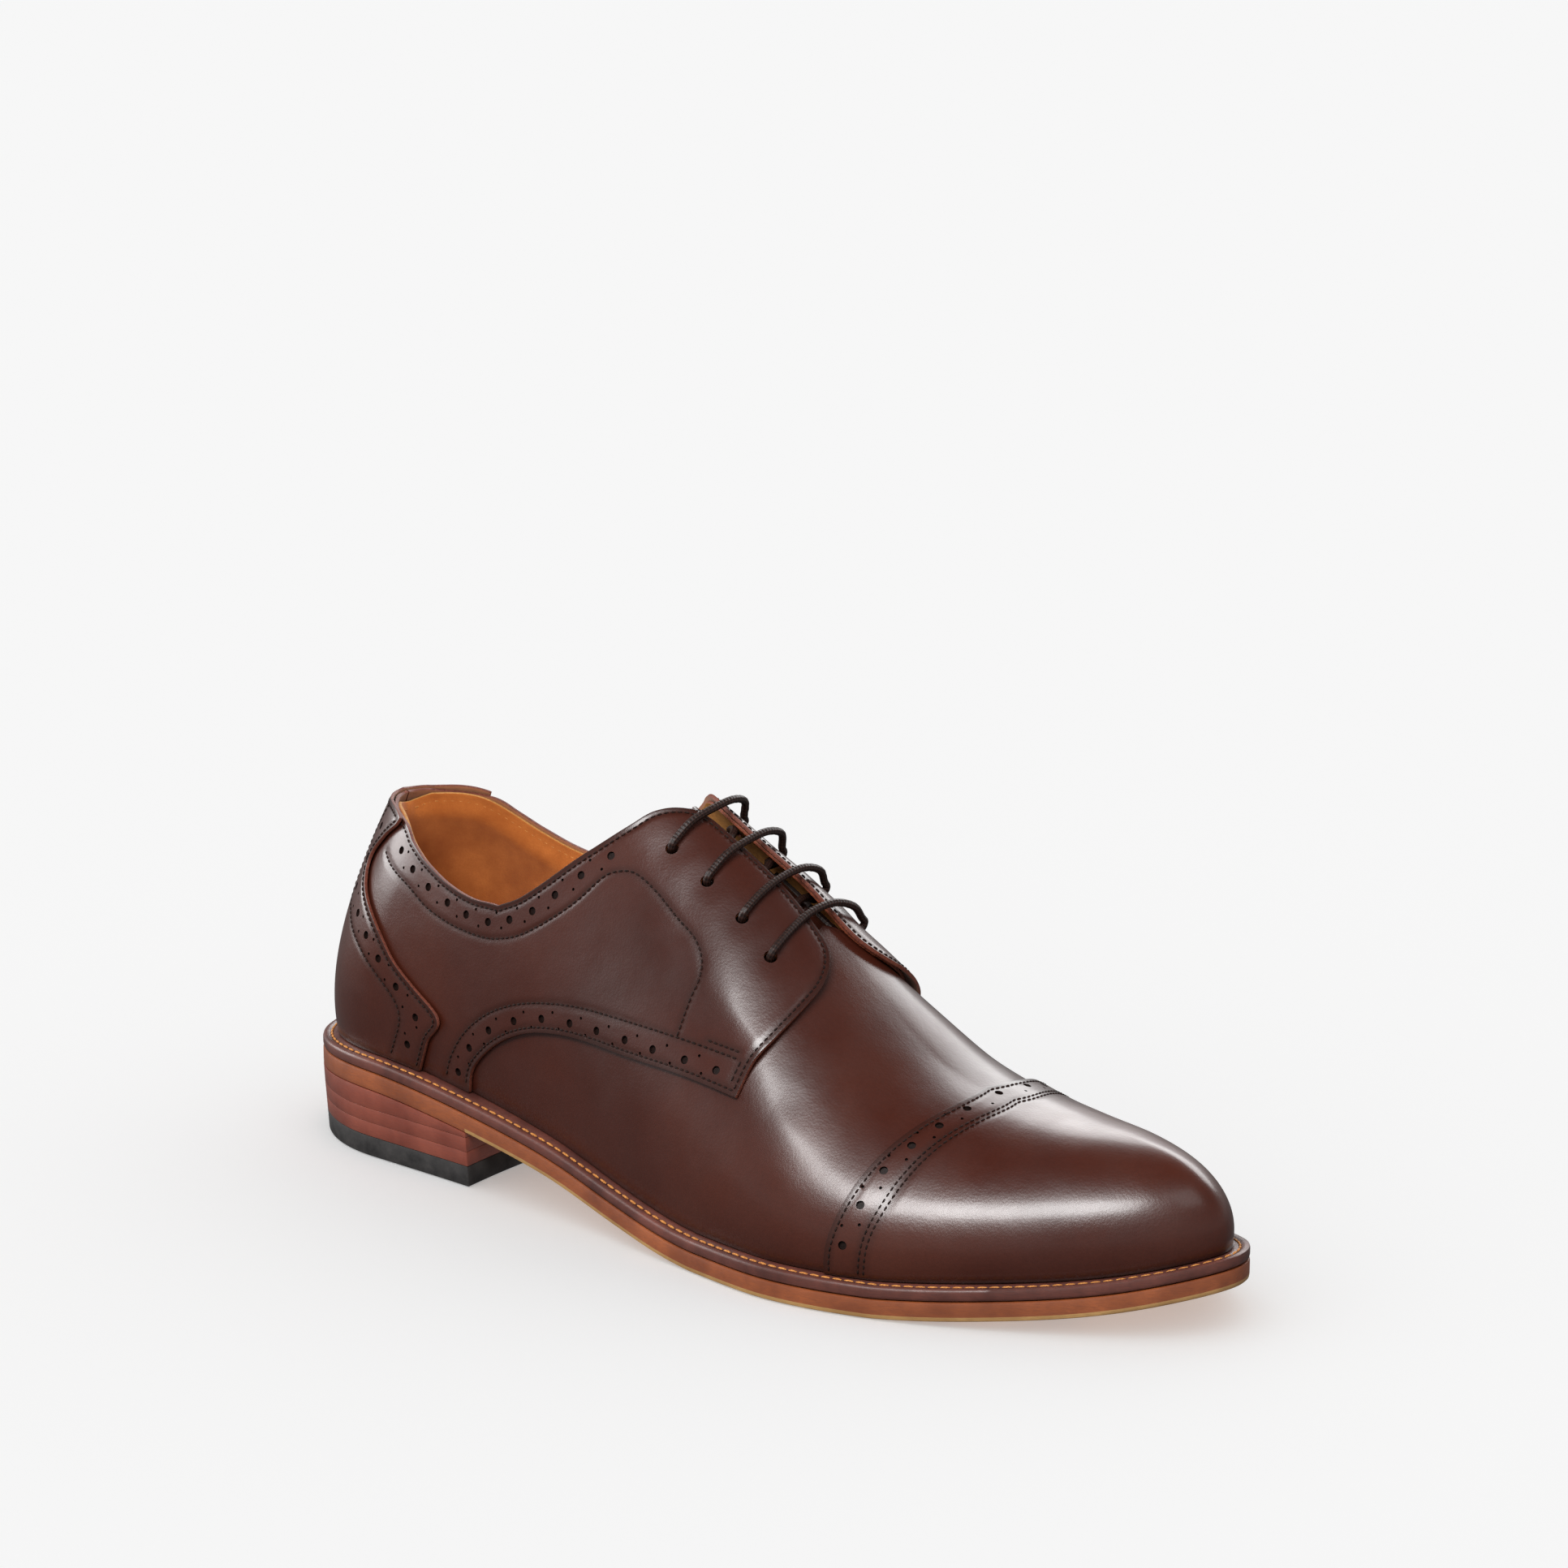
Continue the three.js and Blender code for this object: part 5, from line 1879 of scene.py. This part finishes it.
@dataclass
class Linings:
    """Suede linings of quarters, vamp and facings, and the two plies of the tongue."""

    wardrobe: Wardrobe
    top_seam: float = 2.0
    grip_seam_at: float = 0.196
    lining_end: float = 0.235
    lining_crest: float = 0.6
    lining_pitch: float = 2.3
    stiffener_end: float = 0.14
    skive: float = 0.065  # how far under the collar the inner plies stop, as tau
    cloth_base: tuple[Pair, ...] = (
        (0.1425, 0.03), (0.152, 0.1), (0.176, 0.21), (0.19, 0.26), (0.207, 0.3))
    eyelet: float = 3.6
    eyelet_depth: float = 2.5
    eyelet_sides: int = 24
    tongue_seam: float = 1.6

    def _lining_top(self, t: Array) -> Array:
        """Upper border of the quarter lining."""
        return np.minimum(PATTERN.topline(t) - 0.004, self.lining_crest)

    def _skived_top(self, t: Array) -> Array:
        """Upper border of the stiffener and the cloth, thinned out under the collar."""
        return PATTERN.topline(t) - self.skive

    def _inside(self, t: Array, tau: Array) -> Array:
        """Face of the lining that shows inside the shoe."""
        return PLIES.collar_lining_out(t, tau) - PLIES.lining

    def stiffening(self) -> None:
        """Builds the heel stiffener and the cloth plies, skived away under the collar."""
        w = self.wardrobe
        grid = PATTERN.heel_grid(Level(self.stiffener_end), self._skived_top, 44, 36)
        outer = PLIES.vamp
        heel = Panel("heel_stiffener_felt", grid, outer, PLIES.shell, (w.stiff,) * 3)
        attach(heel.build(), Slot.STIFFENING, "heel_stiffener")
        base = trace(self.cloth_base, 40)
        top_t = np.linspace(self.cloth_base[0][0], self.cloth_base[-1][0], 41)
        lowest = np.interp(top_t, base[:, 0], base[:, 1]) + 0.01
        top = np.stack([top_t, np.maximum(self._skived_top(top_t), lowest)], -1)
        cloth = fill(base, top, straight(base[0], top[0], 16), straight(base[-1], top[-1], 16))
        for side in SIDES:
            ply = Panel(f"interlining_{side.name}_cloth", side.grid(cloth), outer, PLIES.shell,
                        (w.cloth,) * 3)
            attach(ply.build(), Slot.INTERLINING, f"interlining_{side.name}")

    def quarter_lining(self) -> None:
        """Builds the lining of the quarters and sews its rows on the inner face."""
        w = self.wardrobe
        grid = PATTERN.heel_grid(Level(self.lining_end), self._lining_top, 95, 77)
        panel = Panel("quarter_lining_suede", grid, PLIES.collar_lining_out, PLIES.lining,
                      (w.lining, w.lining, w.lining_edge))
        attach(panel.build(), Slot.LINING, "quarter_lining")
        t = np.linspace(-0.2, 0.2, 500)
        border = np.stack([t, self._lining_top(np.abs(t))], -1)
        grip_tau = np.linspace(0.06, 0.97, 60) * self._lining_top(np.array(self.grip_seam_at))
        grip = np.stack([self.grip_seam_at + 0 * grip_tau, grip_tau], -1)
        pitch = self.lining_pitch
        seams = [Seam(inset(border, -self.top_seam, self._inside), False, pitch),
                 Seam(grip, True, pitch), Seam(grip + [0.004, 0], True, pitch)]
        stitcher = Stitcher(w.welt_thread, thickness=0.4)
        rows = stitcher.sew("lining_stitching", seams, self._inside, sink=-0.06)
        attach(rows, Slot.LINING)

    def vamp_lining(self) -> None:
        """Builds the lining of the vamp and toe."""
        w = self.wardrobe
        panel = Panel("vamp_lining_suede", PATTERN.vamp_lining_grid(4), PLIES.lining_out,
                      PLIES.lining, (w.lining, w.lining, w.lining_edge))
        attach(panel.build(), Slot.LINING, "vamp_lining")

    def facing_linings(self) -> None:
        """Builds the lining under each facing, with its eyelet holes."""
        w = self.wardrobe
        for side in SIDES:
            panel = Panel(f"facing_lining_{side.name}_suede", side.grid(PATTERN.facing_grid(6)),
                          PLIES.facing, PLIES.facing_lining,
                          (w.lining, w.lining, w.lining_edge), edge_round=0.2)
            obj = panel.build()
            spots = side.spots(np.array(PATTERN.eyelets))
            holes = punches(spots, PLIES.facing, self.eyelet, self.eyelet_depth)
            punch(obj, holes, w.eyelet, self.eyelet_sides)
            attach(obj, Slot.LINING, f"facing_lining_{side.name}")

    def tongue(self) -> None:
        """Builds the tongue and its lining, which ride on one body together."""
        w = self.wardrobe
        grid = PATTERN.tongue_grid(90, 84)
        outer = PLIES.tongue_out
        border = joined(grid[::-1, 0], grid[0], grid[:, -1])[8:-8]
        seams = [Seam(inset(border, -self.tongue_seam, outer), False)]
        leather = Panel("tongue_leather", grid, outer, PLIES.tongue,
                        (w.tongue, w.flesh, w.edge), seams)
        attach(leather.build(), Slot.UPPER, "tongue", body=TONGUE_BODY)
        rows = Stitcher(w.thread).sew("tongue_stitching", seams, outer)
        attach(rows, Slot.UPPER, body=TONGUE_BODY)
        lining = Panel("tongue_lining_suede", grid, PLIES.tongue_lining_out, PLIES.tongue,
                       (w.lining, w.lining, w.lining_edge))
        attach(lining.build(), Slot.LINING, "tongue_lining", body=TONGUE_BODY)

    def build(self) -> None:
        """Builds every lining and the tongue."""
        self.stiffening()
        self.quarter_lining()
        self.vamp_lining()
        self.facing_linings()
        self.tongue()


# ---------------------------------------------------------------- lace
@dataclass
class Lacing:
    """One round braided lace, bar laced through four pairs of eyelets."""

    wardrobe: Wardrobe
    radius: float = 1.1
    tau_mm: float = 0.0125  # one millimetre across the instep, as tau
    sides: int = 16
    step: float = 0.4
    weave_depth: float = 0.035
    weave_pitch: float = 2.1
    strand_pairs: int = 4
    run_shares: tuple[float, ...] = (0.2, 0.4, 0.6, 0.8)
    bar_rise: float = 2.3
    bar_slack: tuple[Pair, ...] = ((0.2, 1.6), (0.4, 1.2), (0.6, 0.2), (0.8, 0.0))

    def _place(self, t: float, tau: float, height: float) -> Array:
        """One point of the route."""
        return LAST.place(np.array([t]), np.array([tau]), height)[0]

    def _pass(self, eyelet: Pair, side: int) -> list[Array]:
        """Points through one eyelet, from the outside in; side is +1 medial.

        Args:
            eyelet: Its place on the lateral side.
            side: +1 for the medial side, -1 for the lateral.

        Returns:
            The points.
        """
        t, tau = eyelet
        here = np.array(t), np.array(tau)
        top = float(PLIES.quarter(*here))
        outside = top + PLIES.gap + self.radius
        inside = float(PLIES.facing_under(*here))
        course = ((2.6, outside + 0.1), (1.0, outside), (0, top + 0.4), (0, inside - 0.3),
                  (0.7, inside - PLIES.gap - self.radius),
                  (2.6, inside - PLIES.gap - self.radius - 0.1))
        points = []
        for shift, height in course:
            at = tau + shift * self.tau_mm
            points.append(self._place(t, 2 - at if side > 0 else at, height))
        return points

    def _bar(self, eyelet: Pair) -> list[Array]:
        """The bar over the gap, from medial to lateral, slack at first.

        Args:
            eyelet: The lateral eyelet that it ends at.

        Returns:
            The points.
        """
        t, tau = eyelet
        base = float(PLIES.lay(np.array(t))) + PLIES.leather + PLIES.ply_gap + self.bar_rise
        return [self._place(t, 2 - tau + (2 * tau - 2) * s, base + slack)
                for s, slack in self.bar_slack]

    def _under(self, here: Pair, there: Pair) -> list[Array]:
        """The run under the gap, from a lateral eyelet to the next medial one.

        Args:
            here: The lateral eyelet.
            there: The next one, taken on the medial side.

        Returns:
            The points.
        """
        height = float(PLIES.lay(np.array(here[0]))) - PLIES.lace_drop - self.radius
        across = 2 - there[1] - here[1]
        return [self._place(here[0] + (there[0] - here[0]) * s, here[1] + across * s, height)
                for s in self.run_shares]

    def _tail(self, eyelet: Pair, side: int, way: int) -> list[Array]:
        """The hidden end, which runs beside the eyelets under the facing.

        Args:
            eyelet: Its place on the lateral side.
            side: +1 for the medial side, -1 for the lateral.
            way: +1 towards the toe, -1 towards the heel.

        Returns:
            The points.
        """
        t, tau = eyelet
        inside = float(PLIES.lay(np.array(t))) - PLIES.lace_drop - self.radius - 0.35
        course = ((0.0015, -0.02, 0.1), (0.005, -0.05, 0), (0.0105, -0.06, 0), (0.016, -0.06, 0))
        return [self._place(t + way * dt, 2 - tau - d_tau if side > 0 else tau + d_tau,
                            inside + lift) for dt, d_tau, lift in course]

    def route(self) -> Array:
        """The whole route as points, from the medial tail to the lateral one.

        Returns:
            The points, one a row.
        """
        eyelets = PATTERN.eyelets
        points = self._tail(eyelets[0], 1, -1)[::-1]
        points += self._pass(eyelets[0], 1)[3::-1]
        for eyelet, following in zip(eyelets, eyelets[1:]):
            points += self._bar(eyelet)
            points += self._pass(eyelet, -1)
            points += self._under(eyelet, following)
            points += self._pass(following, 1)[::-1]
        points += self._bar(eyelets[-1])
        points += self._pass(eyelets[-1], -1)[:4]
        points += self._tail(eyelets[-1], -1, 1)
        return np.array(points)

    def _frames(self, line: Array) -> tuple[Array, Array]:
        """Two directions across the cord at each point, carried on without twist.

        Args:
            line: Points of the cord's middle line.

        Returns:
            The two unit vectors of each point.
        """
        way = np.gradient(line, axis=0)
        way /= np.linalg.norm(way, axis=1, keepdims=True)
        first = np.empty_like(line)
        side = np.cross(way[0], [0, 0, 1.0])
        for i, tangent in enumerate(way):
            side = side - tangent * side.dot(tangent)
            side = side / np.linalg.norm(side)
            first[i] = side
        return first, np.cross(way, first)

    def build(self) -> None:
        """Builds the lace as a woven round cord."""
        line = flowing(self.route(), 14)
        length = float(np.linalg.norm(np.diff(line, axis=0), axis=1).sum())
        line = evenly(line, round(length / self.step))
        side, up = self._frames(line)
        turn = np.linspace(0, 2 * np.pi, self.sides + 1)
        along = np.linspace(0, length, len(line))[:, None]
        weave = np.sin(2 * np.pi * along / self.weave_pitch) * np.sin(self.strand_pairs * turn)
        radius = self.radius * (1 - self.weave_depth + self.weave_depth * weave)[..., None]
        ring = (side[:, None] * np.cos(turn)[None, :, None]
                + up[:, None] * np.sin(turn)[None, :, None])
        points = line[:, None] + ring * radius
        uv = np.stack([along * MM + 0 * turn, turn / (2 * np.pi) + 0 * along], -1)
        mesh = grid_mesh(to_frame(points), uv)
        obj = closed_object("lace_cord", mesh, self.wardrobe.lace)
        attach(obj, Slot.LACE, "lace")
        log.info("lace length %.0f mm", length)


# ---------------------------------------------------------------- bottom
@dataclass
class Bottom:
    """Welt, outsole, stacked heel and sock, built as rings round the sole's outline."""

    wardrobe: Wardrobe
    outsole: float = 5.2
    welt: float = 3.2
    welt_ring: float = 14.0
    gap: float = 0.3
    top_piece: float = 6.0
    top_piece_round: float = 0.4
    lift: float = 3.9
    lifts: int = 3
    lift_round: float = 0.08
    heel_length: float = 77.0
    heel_taper: float = 1.2
    taper_height: float = 18.0
    heel_middle: Pair = (38.0, 0.0)
    face_rings: int = 7  # rings of the outsole's underside, and those up to its pale line
    rim_rings: int = 11
    breast_hollow: float = 2.2
    joint: float = 0.07
    around: int = 420
    stitch_pitch: float = 3.2
    stitch_inset: float = 2.5

    def _ring(self, t: Array, share: float, inset_by: float, height: Curve,
              lift: float) -> Array:
        """One ring of the sole.

        Args:
            t: Outline places.
            share: 1 on the outline, 0 on the spine.
            inset_by: Distance in from the outline.
            height: Height at x.
            lift: What is added to it.

        Returns:
            Design points.
        """
        edge = LAST.inset_outline(t, np.full(t.shape, inset_by))
        spine = LAST.spine(t)
        plan = spine + (edge - spine) * share
        return np.concatenate([plan, (height(plan[:, 0]) + lift)[:, None]], -1)

    def _outsole_finish(self, ring: int) -> int:
        """Finish of a ring of faces: 0 for the underside, 1 for the pale line, 2 for the rest."""
        return 0 if ring < self.face_rings else 1 if ring < self.rim_rings else 2

    def _under_sole(self, x: Array) -> Array:
        """Upper side of the highest lift, a joint's width under the outsole."""
        return LAST.sole_bottom(x) - self.joint

    def build_outsole(self) -> None:
        """Builds the outsole with a dyed edge, a pale lower line and a stitch channel."""
        w = self.wardrobe
        t = np.linspace(0, 1, self.around + 1)
        top = self.outsole
        section = [(0, 0, 0), (0.3, 0, 0), (0.6, 0, 0), (0.85, 0, 0), (0.862, 0, 0.45),
                   (0.874, 0, 0), (0.93, 0, 0), (1, 1.6, 0), (1, 0.45, 0.05), (1, 0.12, 0.3),
                   (1, 0.02, 0.9), (1, 0, 1.3), (1, 0, 2.8), (1, 0, top - 0.7),
                   (1, 0.12, top - 0.2), (1, 0.5, top), (1, 2, top), (0.9, 0, top), (0.5, 0, top),
                   (0, 0, top)]
        rings = [self._ring(t, share, by, LAST.sole_bottom, lift) for share, by, lift in section]
        mesh = grid_mesh(to_frame(np.stack(rings, 1)), row_finish=self._outsole_finish)
        heel_end = (self.heel_length - HALF_LENGTH) * MM
        for face in mesh.faces:
            if face.material_index == 1 and face.calc_center_median().x < heel_end:
                face.material_index = 2
        obj = closed_object("outsole_leather", mesh, w.sole_face, w.sole_rim, w.sole)
        attach(obj, Slot.SOLE, "outsole")

    def build_welt(self) -> None:
        """Builds the welt, with a groove for its stitches."""
        w = self.wardrobe
        t = np.linspace(0, 1, self.around + 1)
        low = self.outsole + self.gap
        top = low + self.welt
        groove = self.stitch_inset
        section = [(1, 4.4, low), (1, 0.5, low), (1, 0.12, low + 0.3), (1, 0, low + 0.9),
                   (1, 0, top - 0.9), (1, 0.16, top - 0.35), (1, 0.65, top),
                   (1, groove - 0.8, top), (1, groove - 0.3, top - 0.35), (1, groove, top - 0.45),
                   (1, groove + 0.3, top - 0.35), (1, groove + 0.8, top), (1, 4.4, top)]
        rings = [self._ring(t, share, by, LAST.sole_bottom, lift) for share, by, lift in section]
        inner = LAST.shrunk_outline(t, self.welt_ring)
        for lift in (top, low):
            height = LAST.sole_bottom(inner[:, 0]) + lift
            rings.append(np.concatenate([inner, height[:, None]], -1))
        rings.append(rings[0])
        mesh = grid_mesh(to_frame(np.stack(rings, 1)))
        attach(closed_object("welt_strip", mesh, w.welt), Slot.WELT, "welt")
        self._sew_welt(top)

    def _sew_welt(self, top: float) -> None:
        """Sews the light row round the welt.

        Args:
            top: Height of the welt's upper side over the outsole's underside.
        """
        t = np.linspace(0, 1, 2400)
        line = self._ring(t, 1, self.stitch_inset, LAST.sole_bottom, top - 0.22)
        length = np.linalg.norm(np.diff(line, axis=0), axis=1).sum()
        holes = evenly(line, round(length / self.stitch_pitch))
        stitcher = Stitcher(self.wardrobe.welt_thread, thickness=0.75, share=0.86)
        normals = np.tile([0.0, 0.0, 1.0], (len(holes), 1))
        mesh = stitcher.row(to_frame(holes), normals)
        attach(to_object("welt_stitching", mesh, stitcher.material), Slot.WELT)
        log.info("welt stitches: %d", len(holes) - 1)

    def _heel_loop(self, inset_by: float) -> Array:
        """Outline of the heel at one height, closed by a hollow breast.

        Args:
            inset_by: Distance in from the outline.

        Returns:
            Its points, as rows of (x, y).
        """
        end = math.acos(1 - 2 * self.heel_length / SOLE_LENGTH) / (2 * math.pi)
        around = LAST.inset_outline(np.linspace(-end, end, 161), np.full(161, inset_by))
        s = np.linspace(0, 1, 41)[1:, None]
        breast = around[-1] * (1 - s) + around[0] * s
        breast[:, 0] -= (self.breast_hollow * 4 * s * (1 - s))[:, 0]
        return np.vstack([around, breast])

    def _heel_layer(self, name: str, low: Curve,
                    high: Curve, material: Material, slot: Slot,
                    node: str, edge: float) -> None:
        """Builds one layer of the heel.

        Args:
            name: The object's name.
            low: Height of its underside at x.
            high: Height of its upper side at x.
            material: Its finish.
            slot: The record's slot.
            node: The frame node it stands for.
            edge: Rounding of its edges.
        """
        rings = []
        middle = np.array(self.heel_middle)
        for face, shares in ((low, (0, 0.5, 0.9, 1)), (high, (1, 0.9, 0.5, 0))):
            for share in shares:
                z = float(np.mean(face(np.array([40.0]))))
                risen = min(max(z / self.taper_height, 0), 1)
                loop = self._heel_loop(self.heel_taper * (1 - risen))
                plan = middle + (loop - middle) * share
                rings.append(np.concatenate([plan, face(plan[:, 0])[:, None]], -1))
        mesh = grid_mesh(to_frame(np.stack(rings, 1)))
        obj = closed_object(name, mesh, material)
        round_edges(obj, edge, CREASE)
        attach(settle(obj), slot, node)

    def build_heel(self) -> None:
        """Builds the top piece and the three lifts over it."""
        w = self.wardrobe
        self._heel_layer("top_piece_rubber", Level(0.0), Level(self.top_piece), w.rubber,
                         Slot.TOP_PIECE, "top_piece", self.top_piece_round)
        for i in range(self.lifts):
            floor = self.top_piece + self.joint + i * (self.lift + self.gap)
            highest = i == self.lifts - 1
            roof = self._under_sole if highest else Level(
                floor + self.lift + self.gap - self.joint)
            self._heel_layer(f"lift_{i + 1}_leather", Level(floor), roof, w.stack, Slot.STACK,
                             f"heel_lift_{i + 1}", self.lift_round)

    def build_sock(self) -> None:
        """Builds the sock that lines the footbed."""
        t = np.linspace(0, 1, self.around + 1)
        side = np.minimum(t, 1 - t)
        edge = LAST.place(t, 0 * t, PLIES.lay(side) - PLIES.shell - 2 * PLIES.ply_gap - 1.5)
        spine = LAST.spine(t)
        rings = []
        section = [(0, 2.3), (0.5, 2.3), (0.95, 2.3), (0.995, 2.35), (1, 2.8), (0.992, 3.3),
                   (0.97, 3.48), (0.9, 3.5), (0.7, 3.45), (0.4, 3.4), (0, 3.4)]
        for share, lift in section:
            plan = spine + (edge[:, :2] - spine) * share
            rings.append(np.concatenate([plan, (LAST.feather(plan[:, 0]) + lift)[:, None]], -1))
        mesh = grid_mesh(to_frame(np.stack(rings, 1)))
        obj = closed_object("sock_leather", mesh, self.wardrobe.sock)
        attach(obj, Slot.SOCK, "sock_liner")

    def build(self) -> None:
        """Builds the whole bottom."""
        self.build_outsole()
        self.build_welt()
        self.build_heel()
        self.build_sock()


@dataclass
class InnerParts:
    """Frame pieces whose shape is right and which only need their finish."""

    wardrobe: Wardrobe
    nodes: dict[str, bpy.types.Object]

    def dress(self) -> None:
        """Gives each kept frame piece its finish."""
        w = self.wardrobe
        finishes = {
            "toe_puff": w.stiff, "insole_board": w.board, "cork_filler": w.cork,
            "shank": w.steel, "aglet_medial": w.tip, "aglet_lateral": w.tip}
        finishes |= {f"heel_nail_{i}": w.steel for i in range(1, 6)}
        for name, material in finishes.items():
            data = self.nodes[name].data
            data.materials.clear()
            data.materials.append(material)
            log.info("%s: %s", name, material.name)


# ---------------------------------------------------------------- studio
@dataclass(frozen=True)
class SoftBox:
    """One soft box: where it hangs, its width and height, and its power in watts."""

    name: str
    where: tuple[float, float, float]
    width: float
    height: float
    power: float


@dataclass
class Studio:
    """Pale floor, soft light and the camera."""

    azimuth: float = 39.9
    elevation: float = 14.7
    distance: float = 1.3
    target: tuple[float, float, float] = (0.010, -0.003, 0.121)
    lens: float = 113.7
    sensor: float = 36.0
    lit_at: tuple[float, float, float] = (0.03, 0.0, 0.05)
    floor_tone: str = "#e8e8e8"
    floor_glow: float = 0.3
    floor_gap: float = 0.0002
    floor_half: float = 30.0
    room: float = 0.78
    mirrored: float = 0.6
    sky_tones: tuple[tuple[float, str], ...] = (
        (0.0, "#5c5c5c"), (0.47, "#868686"), (0.53, "#d0d0d0"), (0.64, "#b4b4b4"),
        (0.8, "#3a3a3a"), (0.94, "#080808"))
    boxes: tuple[SoftBox, ...] = (
        SoftBox("side_strip", (0.28, -0.74, 0.86), 0.62, 0.28, 15.0),
        SoftBox("back_wall", (-0.35, 1.25, 0.75), 1.5, 0.7, 17.0),
        SoftBox("heel_wall", (-1.25, -0.35, 0.5), 0.8, 0.7, 13.0),
        SoftBox("front_wall", (1.1, -0.15, 1.3), 0.7, 0.6, 2.5))

    def _floor(self) -> bpy.types.Collection:
        """Lays a wide pale floor that the shoe's gloss doesn't mirror.

        Returns:
            The collection that keeps the soft boxes' light off the floor.
        """
        recipe = Recipe("studio_floor")
        recipe.constant(Base_Color=linear(self.floor_tone), Roughness=0.9,
                        Specular_IOR_Level=0.0, Emission_Color=(1, 1, 1, 1),
                        Emission_Strength=self.floor_glow)
        mesh = bmesh.new()
        bmesh.ops.create_grid(mesh, x_segments=2, y_segments=2, size=self.floor_half,
                              matrix=Matrix.Translation((0, 0, -self.floor_gap)))
        floor = to_object("studio_floor", mesh, recipe.material)
        floor.visible_glossy = False
        floor.visible_diffuse = False
        unlit = bpy.data.collections.new("unlit_by_boxes")
        unlit.objects.link(floor)
        unlit.collection_objects[0].light_linking.link_state = "EXCLUDE"
        return unlit

    def _world(self) -> None:
        """Fills the room with even light, and gives the gloss a darker ceiling to mirror."""
        world = bpy.data.worlds.new("studio")
        world.use_nodes = True
        tree = world.node_tree
        mirrored = tree.nodes["Background"]
        mirrored.inputs["Strength"].default_value = self.mirrored
        room = tree.nodes.new("ShaderNodeBackground")
        room.inputs["Color"].default_value = (1, 1, 1, 1)
        room.inputs["Strength"].default_value = self.room
        ray = tree.nodes.new("ShaderNodeLightPath")
        choice = tree.nodes.new("ShaderNodeMixShader")
        tree.links.new(ray.outputs["Is Glossy Ray"], choice.inputs["Fac"])
        tree.links.new(room.outputs["Background"], choice.inputs[1])
        tree.links.new(mirrored.outputs["Background"], choice.inputs[2])
        tree.links.new(choice.outputs["Shader"], tree.nodes["World Output"].inputs["Surface"])
        place = tree.nodes.new("ShaderNodeTexCoord")
        split = tree.nodes.new("ShaderNodeSeparateXYZ")
        level = tree.nodes.new("ShaderNodeMapRange")
        level.inputs["From Min"].default_value = -1.0
        ramp = tree.nodes.new("ShaderNodeValToRGB")
        set_stops(ramp, self.sky_tones)
        tree.links.new(place.outputs["Generated"], split.inputs["Vector"])
        tree.links.new(split.outputs["Z"], level.inputs["Value"])
        tree.links.new(level.outputs["Result"], ramp.inputs["Fac"])
        tree.links.new(ramp.outputs["Color"], mirrored.inputs["Color"])
        bpy.context.scene.world = world

    def _lamps(self, unlit: bpy.types.Collection) -> None:
        """Hangs the soft boxes, each facing the shoe.

        Args:
            unlit: What they don't light.
        """
        for box in self.boxes:
            data = bpy.data.lights.new(box.name, "AREA")
            data.shape = "RECTANGLE"
            data.size, data.size_y = box.width, box.height
            data.energy = box.power
            lamp = bpy.data.objects.new(box.name, data)
            lamp.light_linking.receiver_collection = unlit
            lamp.location = box.where
            aim = Vector(self.lit_at) - Vector(box.where)
            lamp.rotation_euler = aim.to_track_quat("-Z", "Y").to_euler()
            bpy.context.scene.collection.objects.link(lamp)

    def _camera(self) -> None:
        """Sets up the camera."""
        data = bpy.data.cameras.new("camera")
        data.lens = self.lens
        data.sensor_width = self.sensor
        camera = bpy.data.objects.new("camera", data)
        a, e = math.radians(self.azimuth), math.radians(self.elevation)
        back = Vector((math.sin(a) * math.cos(e), -math.cos(a) * math.cos(e), math.sin(e)))
        camera.location = Vector(self.target) + back * self.distance
        camera.rotation_euler = back.to_track_quat("Z", "Y").to_euler()
        bpy.context.scene.collection.objects.link(camera)
        bpy.context.scene.camera = camera

    def build(self) -> None:
        """Builds the studio."""
        bpy.context.scene.view_settings.view_transform = "Standard"
        unlit = self._floor()
        self._world()
        self._lamps(unlit)
        self._camera()


def main() -> None:
    """Builds every sub-assembly in order."""
    logging.basicConfig(level=logging.INFO, format="%(message)s")
    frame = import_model()
    wardrobe = Wardrobe()
    InnerParts(wardrobe, frame["nodes"]).dress()
    Upper(wardrobe).build()
    Linings(wardrobe).build()
    Lacing(wardrobe).build()
    Bottom(wardrobe).build()
    Studio().build()


if __name__ == "__main__":
    main()
